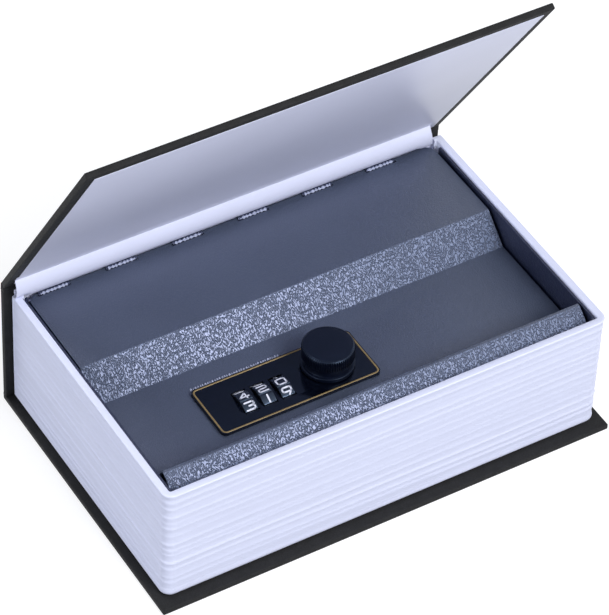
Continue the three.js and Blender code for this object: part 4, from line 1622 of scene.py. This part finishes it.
@dataclass
class SteelBox:
    """The folded box with its curled hinge tabs, and the strike in it.

    The relief is the notch at the top of the box's right rear corner.
    """

    relief_low: Point3 = (79.8, 49.7, 41.5)
    relief_high: Point3 = (84.6, 55.2, 53.0)
    tab_reach: float = 5.3
    crimp_place: Point2 = (52.52, 50.3)
    crimp_pitch: float = 1.5

    def crimps(self) -> Iterable[Piece]:
        """Makes the row of small swellings that the curling tool leaves on each tab."""
        profile = ((-0.62, -0.35), (-0.55, 0.0), (-0.3, 0.34), (0.1, 0.52), (0.42, 0.42), (0.6, 0.1), (0.3, -0.5))
        for i, x in enumerate(TABS, 1):
            reach = (x - self.tab_reach, x + self.tab_reach)
            yield beaded(f"tab_crimps_{i}", reach, profile, self.crimp_place, self.crimp_pitch)

    def dress(self, palette: Palette) -> None:
        """Builds the box's pieces and ties them to the book."""
        box = softened("box_sheet", "steel_box", 0.18)
        cut(box, box_object("corner_relief", self.relief_low, self.relief_high))
        # The box's dark coat is painted shade
        settle(with_slopes_noted(box), Body.BOX, "navy_steel", palette["shaded_box_crinkle"], "steel_box")
        for row in self.crimps():
            # The crimps' pale coat is a painted highlight of the tab curls catching the light
            settle(with_slopes_noted(row), Body.BOX, "navy_steel", palette["painted_glint_crinkle"])
        # The strike wears the same darkened coat, painted shade
        strike = softened("strike_angle", "strike_bracket", 0.15)
        settle(strike, Body.BOX, "navy_steel", palette["shaded_box_crinkle"], "strike_bracket")


@dataclass
class NumberLock:
    """The lock: its plate, wheels and digits, and the works under the lid.

    A wheel's lower digit stands on its front flat, and rest_turn is how far the wheels have turned on, in degrees.
    """

    plate_x: float = -20.05
    plate_y: float = -17.6
    plate_top: float = 41.8
    length: float = 62.7
    depth: float = 23.4
    corner: float = 2.0
    line_inset: float = 0.65
    line_width: float = 0.64
    line_thick: float = 0.08
    wheel_x: tuple[float, float, float] = (-37.15, -29.85, -22.55)
    wheel_y: float = -19.1
    wheel_z: float = 36.5
    wheel_radius: float = 7.3
    lower_digits: tuple[int, int, int] = (3, 1, 9)
    rest_turn: float = 10.0
    corner_ease: float = 0.09
    digit_width: float = 3.3
    digit_height: float = 2.75
    stroke: float = 0.58

    def dress(self, palette: Palette) -> None:
        """Builds the lock and ties each piece to its body."""
        plate = softened("lock_plate", "lock_faceplate", 0.22, 3)
        settle(plate, Body.LID, "gloss_black", palette["plate_gloss"], "lock_faceplate")
        self.dress_line(palette)
        for i, (body, x, lower) in enumerate(zip(WHEELS, self.wheel_x, self.lower_digits), 1):
            wheel = softened(f"digit_wheel_{i}", f"number_wheel_{i}", 0.2, 3)
            settle(wheel, body, "black_plastic", palette["wheel_plastic"], f"number_wheel_{i}")
            settle(self.digits(f"digits_{i}", x, lower), body, "black_plastic", palette["white_ink"])
        self.dress_works(palette)

    def dress_line(self, palette: Palette) -> None:
        """Builds the gold line on the plate."""
        line = line_recipe().run(
            "gold_line", Length=(self.length - 2 * self.line_inset) * MM,
            Depth=(self.depth - 2 * self.line_inset) * MM, Corner=(self.corner - 0.4) * MM,
            Width=self.line_width * MM, Thickness=self.line_thick * MM, Material=palette["gold_ink"],
            Centre=metres([(self.plate_x, self.plate_y, self.plate_top)])[0],
        )
        settle(outward(line), Body.LID, "gloss_black", palette["gold_ink"])

    def digits(self, name: str, x: float, lower: int) -> Piece:
        """Makes the ten digits of one wheel.

        Args:
            name: The piece's name.
            x: Middle of the wheel.
            lower: The digit that stands on the front flat.

        Returns:
            The digits as one piece.
        """
        points: list[Point3] = []
        faces: list[Sequence[int]] = []
        # The wheel's corners are eased, so its flats lie further out than a plain decagon's
        apothem = self.wheel_radius * math.cos(math.pi / 10 - self.corner_ease) * 0.999
        for k in range(10):
            angle = math.radians(108 + self.rest_turn - 36 * k)
            normal = Vector((0, math.cos(angle), math.sin(angle)))
            upward = Vector((0, math.sin(angle), -math.cos(angle)))
            base = Vector((x, self.wheel_y, self.wheel_z))
            for stroke in DIGIT_STROKES[(lower + k) % 10]:
                for flat, quad in stroke_solids(stroke, self.stroke):
                    start = len(points)
                    for (u, v), lift in flat:
                        across = (u - 0.5) * self.digit_width
                        rise = (v - 0.5) * self.digit_height
                        place = base + normal * (apothem + lift) + upward * rise + Vector((across, 0, 0))
                        points.append(tuple(place))
                    faces += [tuple(start + i for i in face) for face in quad]
        return outward(mesh_object(name, points, faces))

    def dress_works(self, palette: Palette) -> None:
        """Dresses the works under the lid."""
        cast, steel = ("zinc_cast", "cast_metal"), ("bright_steel", "plated_steel")
        spring = ("spring_steel", "spring_steel")
        works = [
            ("housing_casting", "lock_housing", Body.LID, cast, 0.2),
            ("base_plate_steel", "lock_base_plate", Body.LID, steel, 0.12),
            ("axle_steel", "wheel_axle", Body.LID, steel, 0.12),
            ("spring_comb", "detent_spring", Body.LID, spring, 0.03),
            ("tongue_steel", "latch_tongue", Body.KNOB, steel, 0.15),
            ("tongue_nut_steel", "tongue_nut", Body.KNOB, steel, 0.2),
            ("spindle_steel", "knob_spindle", Body.KNOB, steel, 0.1),
            ("lever_steel", "reset_lever", Body.RESET, steel, 0.15),
        ]
        works += [(f"sleeve_casting_{i}", f"gate_sleeve_{i}", body, cast, 0.06) for i, body in enumerate(WHEELS, 1)]
        for name, node, body, (slot, finish), width in works:
            settle(softened(name, node, width), body, slot, palette[finish], node)


@dataclass
class TurningKnob:
    """The knurled knob on the plate. The teeth stand out from the grip."""

    x: float = -3.55
    y: float = -17.4
    foot_z: float = 41.8
    radius: float = 9.35
    height: float = 10.0
    teeth: int = 72
    tooth: float = 0.36

    @property
    def grip(self) -> float:
        """Radius of the grip between the teeth."""
        return self.radius - self.tooth * 0.8

    def profile(self) -> list[Point2]:
        """Returns the turned profile as (radius, height) points."""
        grip = self.grip
        base = self.radius + 0.15
        waist = self.radius - 0.95
        return [
            (0.0, 0.3), (base - 0.5, 0.3), (base - 0.15, 0.38), (base, 0.65), (base, 1.8), (base - 0.05, 1.93),
            (base - 0.17, 2.0), (waist + 0.1, 2.06), (waist + 0.02, 2.2), (waist, 2.6), (waist, 4.3),
            (waist + 0.1, 4.7), (grip - 0.16, 5.0), (grip, 5.2), (grip, self.height - 0.75),
            (grip - 0.06, self.height - 0.5), (grip - 0.22, self.height - 0.32), (grip - 0.6, self.height - 0.18),
            (grip - 2.6, self.height - 0.07), (grip * 0.4, self.height - 0.01), (0.0, self.height),
        ]

    def tooth_shape(self) -> Piece:
        """Returns one tooth of the knurl, drawn at the origin and pointing along X."""
        half = math.pi * self.radius / self.teeth * 0.92
        points: list[Point3] = []
        full = self.tooth
        rings = ((5.15, 0.0), (5.45, full), (9.15, full), (9.6, full - 0.4), (9.86, full - 0.95))
        for z, reach in rings:
            root, tip, narrow = min(-0.35, reach - 0.4), reach * 0.8, 0.22 * half
            points += [(root, -half, z), (root, half, z), (tip, narrow, z), (tip, -narrow, z)]
        return outward(mesh_object("knurl_tooth", points, capped_faces(4, len(rings))))

    def dress(self, palette: Palette) -> None:
        """Builds the knob and ties it to its body."""
        foot, plastic = (self.x, self.y, self.foot_z), palette["knob_plastic"]
        knob = smooth(lathe("knob_body", self.profile(), foot, 96), 40)
        settle(knob, Body.KNOB, "knob_plastic", plastic, "knob_cap")
        tooth = self.tooth_shape()
        knurl = ring_recipe().run(
            "knob_knurl", Shape=tooth, Count=self.teeth, Radius=self.grip * MM, Centre=metres([foot])[0],
            Material=plastic,
        )
        removed(tooth)
        settle(smooth(knurl, 30), Body.KNOB, "knob_plastic", plastic)


@dataclass
class Screws:
    """The screws: four through the box's floor and four under the lock."""

    slot_half: float = 0.24
    slot_depth: float = 0.75

    def turned_screw(self, node: str, name: str, head: float, upward: bool) -> Piece:
        """Makes a screw with a domed head and a cross slot.

        Args:
            node: The node that it replaces.
            name: The piece's name.
            head: Radius of the head.
            upward: Whether the head is at the top.

        Returns:
            The screw.
        """
        low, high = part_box(node)
        x, y = (low.x + high.x) / 2 / MM, (low.y + high.y) / 2 / MM
        piece = softened(name, node, 0.08)
        z = high.z / MM if upward else low.z / MM
        into = -self.slot_depth if upward else self.slot_depth
        foot, top = sorted((z + into, z - into / 2))
        for half_x, half_y in ((head * 0.62, self.slot_half), (self.slot_half, head * 0.62)):
            cut(piece, box_object("slot", (x - half_x, y - half_y, foot), (x + half_x, y + half_y, top)))
        return smooth(piece, 35)

    def dress(self, palette: Palette) -> None:
        """Builds the screws and ties them to their bodies."""
        kinds = (
            ("box_screw", "floor_screw", 2.8, True, Body.BOX),
            ("lock_screw", "lock_foot_screw", 2.1, False, Body.LID),
        )
        for i in range(1, 5):
            for node, name, head, upward, body in kinds:
                screw = self.turned_screw(f"{node}_{i}", f"{name}_{i}", head, upward)
                settle(screw, body, "bright_steel", palette["plated_steel"], f"{node}_{i}")


# Digits as strokes in a unit square, u to the right and v up


def loop(*points: Point2) -> list[Point2]:
    """Returns a closed stroke."""
    return [*points, points[0]]


NINE_BOWL = loop(
    (0.14, 1.0), (0.86, 1.0), (1.0, 0.86), (1.0, 0.56), (0.86, 0.42), (0.14, 0.42), (0.0, 0.56), (0.0, 0.86),
)
NINE_TAIL = [(0.98, 0.52), (0.6, 0.0)]

DIGIT_STROKES: dict[int, list[list[Point2]]] = {
    0: [loop((0.14, 0.0), (0.86, 0.0), (1.0, 0.14), (1.0, 0.86), (0.86, 1.0), (0.14, 1.0), (0.0, 0.86), (0.0, 0.14))],
    1: [[(0.5, 0.0), (0.5, 1.0)]],
    2: [[
        (0.0, 1.0), (0.86, 1.0), (1.0, 0.88), (1.0, 0.62), (0.86, 0.5), (0.14, 0.5), (0.0, 0.38), (0.0, 0.0),
        (1.0, 0.0),
    ]],
    3: [
        [(0.0, 1.0), (0.86, 1.0), (1.0, 0.87), (1.0, 0.66), (0.84, 0.53), (0.4, 0.53)],
        [(0.84, 0.53), (1.0, 0.4), (1.0, 0.13), (0.86, 0.0), (0.0, 0.0)],
    ],
    4: [[(0.72, 0.0), (0.72, 1.0), (0.0, 0.3), (1.0, 0.3)]],
    5: [[(1.0, 1.0), (0.04, 1.0), (0.0, 0.56), (0.86, 0.56), (1.0, 0.43), (1.0, 0.13), (0.86, 0.0), (0.0, 0.0)]],
    6: [[(1 - u, 1 - v) for u, v in NINE_BOWL], [(1 - u, 1 - v) for u, v in NINE_TAIL]],
    7: [[(0.0, 1.0), (1.0, 1.0), (0.42, 0.0)]],
    8: [
        loop((0.14, 0.52), (0.86, 0.52), (0.98, 0.62), (0.98, 0.9), (0.86, 1.0), (0.14, 1.0), (0.02, 0.9),
             (0.02, 0.62)),
        loop((0.14, 0.0), (0.86, 0.0), (1.0, 0.12), (1.0, 0.42), (0.86, 0.52), (0.14, 0.52), (0.0, 0.42),
             (0.0, 0.12)),
    ],
    9: [NINE_BOWL, NINE_TAIL],
}

# How far a stroke's lower and upper face lie from the wheel's flat
SUNK, PROUD = -0.2, 0.035

StrokeSolid = tuple[list[tuple[Point2, float]], list[Sequence[int]]]


def stroke_solids(stroke: Sequence[Point2], width_mm: float) -> list[StrokeSolid]:
    """Turns a stroke into short flat bars with rounded joints.

    Args:
        stroke: The stroke's points in the unit square.
        width_mm: Its width.

    Returns:
        For each bar, its points with their lift, and its faces.
    """
    across, rise = NumberLock.digit_width, NumberLock.digit_height
    solids: list[StrokeSolid] = []
    for a, b in zip(stroke, stroke[1:]):
        start = Vector((a[0] * across, a[1] * rise))
        end = Vector((b[0] * across, b[1] * rise))
        along = (end - start).normalized()
        side = Vector((-along.y, along.x)) * width_mm / 2
        outline: list[Vector] = []
        for centre, sign in ((end, 1), (start, -1)):
            for angle in (math.pi * step / 4 for step in range(5)):
                outline.append(centre - side * sign * math.cos(angle) + along * sign * math.sin(angle) * width_mm / 2)
        flat = [((p.x / across, p.y / rise), lift) for lift in (SUNK, PROUD) for p in outline]
        solids.append((flat, capped_faces(len(outline), 2)))
    return solids


# Camera, floor and light


def towards(azimuth: float, elevation: float) -> Vector:
    """Returns the direction to a viewer at these degrees, azimuth 0 being the front and 90 the right."""
    az, el = math.radians(azimuth), math.radians(elevation)
    return Vector((math.sin(az) * math.cos(el), -math.cos(az) * math.cos(el), math.sin(el)))


@dataclass(frozen=True)
class PhotoCamera:
    """The camera that fits the photograph."""

    place: Point3 = (-495.39, -760.51, 942.07)
    azimuth: float = -32.93
    elevation: float = 44.43
    roll: float = 3.03
    focal_px: float = 3695.55
    frame_px: tuple[int, int] = (609, 615)
    sensor_mm: float = 36.0

    def build(self) -> None:
        """Makes the camera and hands it to the scene."""
        data = bpy.data.cameras.new("photo_camera")
        data.sensor_width = self.sensor_mm
        data.lens = self.focal_px * self.sensor_mm / max(self.frame_px)
        data.clip_start, data.clip_end = 0.05, 30.0
        camera = add_object("photo_camera", data)
        back = towards(self.azimuth, self.elevation)
        right = (-back).cross(Vector((0, 0, 1))).normalized()
        up = right.cross(-back)
        cosine, sine = math.cos(math.radians(self.roll)), math.sin(math.radians(self.roll))
        axes = Matrix((right * cosine + up * sine, up * cosine - right * sine, back)).transposed().to_4x4()
        camera.matrix_world = Matrix.Translation(Vector(self.place) * MM) @ axes
        bpy.context.scene.camera = camera


@dataclass(frozen=True)
class SoftBox:
    """One square soft light that points at the object."""

    name: str
    azimuth: float
    elevation: float
    distance: float
    size: float
    power: float
    colour: Colour
    target: Point3 = (0.0, 0.0, 0.045)

    def build(self) -> None:
        """Makes the light."""
        data = bpy.data.lights.new(self.name, "AREA")
        data.shape = "SQUARE"
        data.size, data.energy, data.color = self.size, self.power, self.colour
        light = add_object(self.name, data)
        back = towards(self.azimuth, self.elevation)
        light.rotation_mode = "QUATERNION"
        light.location = Vector(self.target) + back * self.distance
        light.rotation_quaternion = (-back).to_track_quat("-Z", "Y")


def seen_rays(tree: Tree) -> Socket:
    """Returns 1 for rays that see a surface directly, in gloss or through glass."""
    path = add_node(tree, "ShaderNodeLightPath")
    total = path.outputs["Is Camera Ray"]
    for name in ("Is Glossy Ray", "Is Transmission Ray"):
        total = add_math(tree, "MAXIMUM", total, path.outputs[name])
    return total


@dataclass(frozen=True)
class Studio:
    """A pale sweep round the object, a soft sky above it and soft boxes. Lengths are in metres.

    The floor lies floor_play millimetres under the object, so that no two faces meet.
    """

    sweep_radius: float = 2.6
    sweep_bend: float = 0.5
    sweep_height: float = 1.4
    sweep_steps: int = 96
    floor_play: float = 0.05
    lift_from: float = 0.16
    lift_to: float = 1.6
    near_lift: float = 0.78
    far_lift: float = 1.0
    sky: float = 0.13
    seen_sky: float = 0.6
    boxes: tuple[SoftBox, ...] = (
        SoftBox("key_box", 18.0, 43.0, 2.2, 1.0, 46.5, (0.96, 0.972, 1.0)),
        SoftBox("left_box", -78.0, 15.0, 1.5, 0.7, 9.8, (0.91, 0.935, 1.0)),
        SoftBox("right_box", 66.0, 40.0, 1.9, 0.4, 3.2, (0.95, 0.965, 1.0)),
        SoftBox("rear_box", 200.0, 35.0, 1.8, 0.7, 9.0, (0.93, 0.95, 1.0)),
    )

    def build(self) -> None:
        """Makes the sweep, the sky and the lights."""
        self.build_sweep()
        self.build_sky()
        for box in self.boxes:
            box.build()

    def build_sweep(self) -> None:
        """Makes the floor with its rounded rise to a low round wall, faces up and inwards."""
        steps, bend = self.sweep_steps, self.sweep_bend
        profile = [(0.35, 0.0), (1.0, 0.0), (self.sweep_radius - bend, 0.0)]
        for angle in (math.radians(90 * i / 12) for i in range(1, 13)):
            profile.append((self.sweep_radius - bend * (1 - math.sin(angle)), bend * (1 - math.cos(angle))))
        profile.append((self.sweep_radius, self.sweep_height))
        places = [(radius * u, radius * v, height) for radius, height in profile for u, v in circle(steps)]
        points = [(x / MM, y / MM, z / MM - self.floor_play) for x, y, z in (*places, (0.0, 0.0, 0.0))]
        faces: list[Sequence[int]] = [tuple(reversed(face)) for face in ring_faces(steps, len(profile), False)]
        faces += [(i, (i + 1) % steps, len(points) - 1) for i in range(steps)]
        sweep = mesh_object("sweep", points, faces)
        sweep.data.polygons.foreach_set("use_smooth", [True] * len(sweep.data.polygons))
        sweep.data.materials.append(self.sweep_paper())
        sweep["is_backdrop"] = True

    def sweep_paper(self) -> Material:
        """Returns the white paper of the sweep, lifted to white where it is seen or reflected."""
        material = bpy.data.materials.new("sweep_paper")
        material.use_nodes = True
        tree = material.node_tree
        tree.nodes.clear()
        reach = add_node(tree, "ShaderNodeVectorMath")
        reach.operation = "LENGTH"
        join(tree, add_node(tree, "ShaderNodeTexCoord").outputs["Object"], reach.inputs[0])
        lift = add_node(
            tree, "ShaderNodeMapRange", Value=reach.outputs["Value"], From_Min=self.lift_from,
            From_Max=self.lift_to, To_Min=self.near_lift, To_Max=self.far_lift,
        )
        lift.interpolation_type = "SMOOTHSTEP"
        seen = add_math(tree, "MULTIPLY", lift.outputs["Result"], seen_rays(tree))
        glow = add_node(tree, "ShaderNodeEmission", Strength=seen)
        paper = add_node(tree, "ShaderNodeBsdfDiffuse", Color=(0.34, 0.345, 0.36, 1.0))
        total = add_node(tree, "ShaderNodeAddShader")
        join(tree, paper.outputs["BSDF"], total.inputs[0])
        join(tree, glow.outputs["Emission"], total.inputs[1])
        add_node(tree, "ShaderNodeOutputMaterial", Surface=total.outputs["Shader"])
        return material

    def build_sky(self) -> None:
        """Makes the even sky."""
        world = bpy.data.worlds.new("studio_sky")
        bpy.context.scene.world = world
        world.use_nodes = True
        tree = world.node_tree
        tree.nodes.clear()
        level = add_node(
            tree, "ShaderNodeMapRange", Value=seen_rays(tree), To_Min=self.sky, To_Max=self.seen_sky,
        )
        background = add_node(
            tree, "ShaderNodeBackground", Color=(0.95, 0.97, 1.0, 1.0), Strength=level.outputs["Result"],
        )
        add_node(tree, "ShaderNodeOutputWorld", Surface=background.outputs["Background"])


def write_sizes() -> None:
    """Measures the frame's box and the finished model's box, and writes neither."""
    boxes = {"cad": CAD_BOX, "visual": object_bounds()}
    plain = {name: [list(corner) for corner in pair] for name, pair in boxes.items()}


def main() -> None:
    """Builds the sub-assemblies in order, then the camera and the studio."""
    logging.basicConfig(level=logging.INFO, format="%(name)s: %(message)s")
    palette = Palette()
    for assembly in (BookCase(), PageBlock(), SteelBox(), SteelLid(), NumberLock(), TurningKnob(), Screws()):
        log.info("building %s", type(assembly).__name__)
        assembly.dress(palette)
    PhotoCamera().build()
    Studio().build()
    bpy.context.scene.view_settings.view_transform = "Standard"
    write_sizes()


if __name__ == "__main__":
    main()
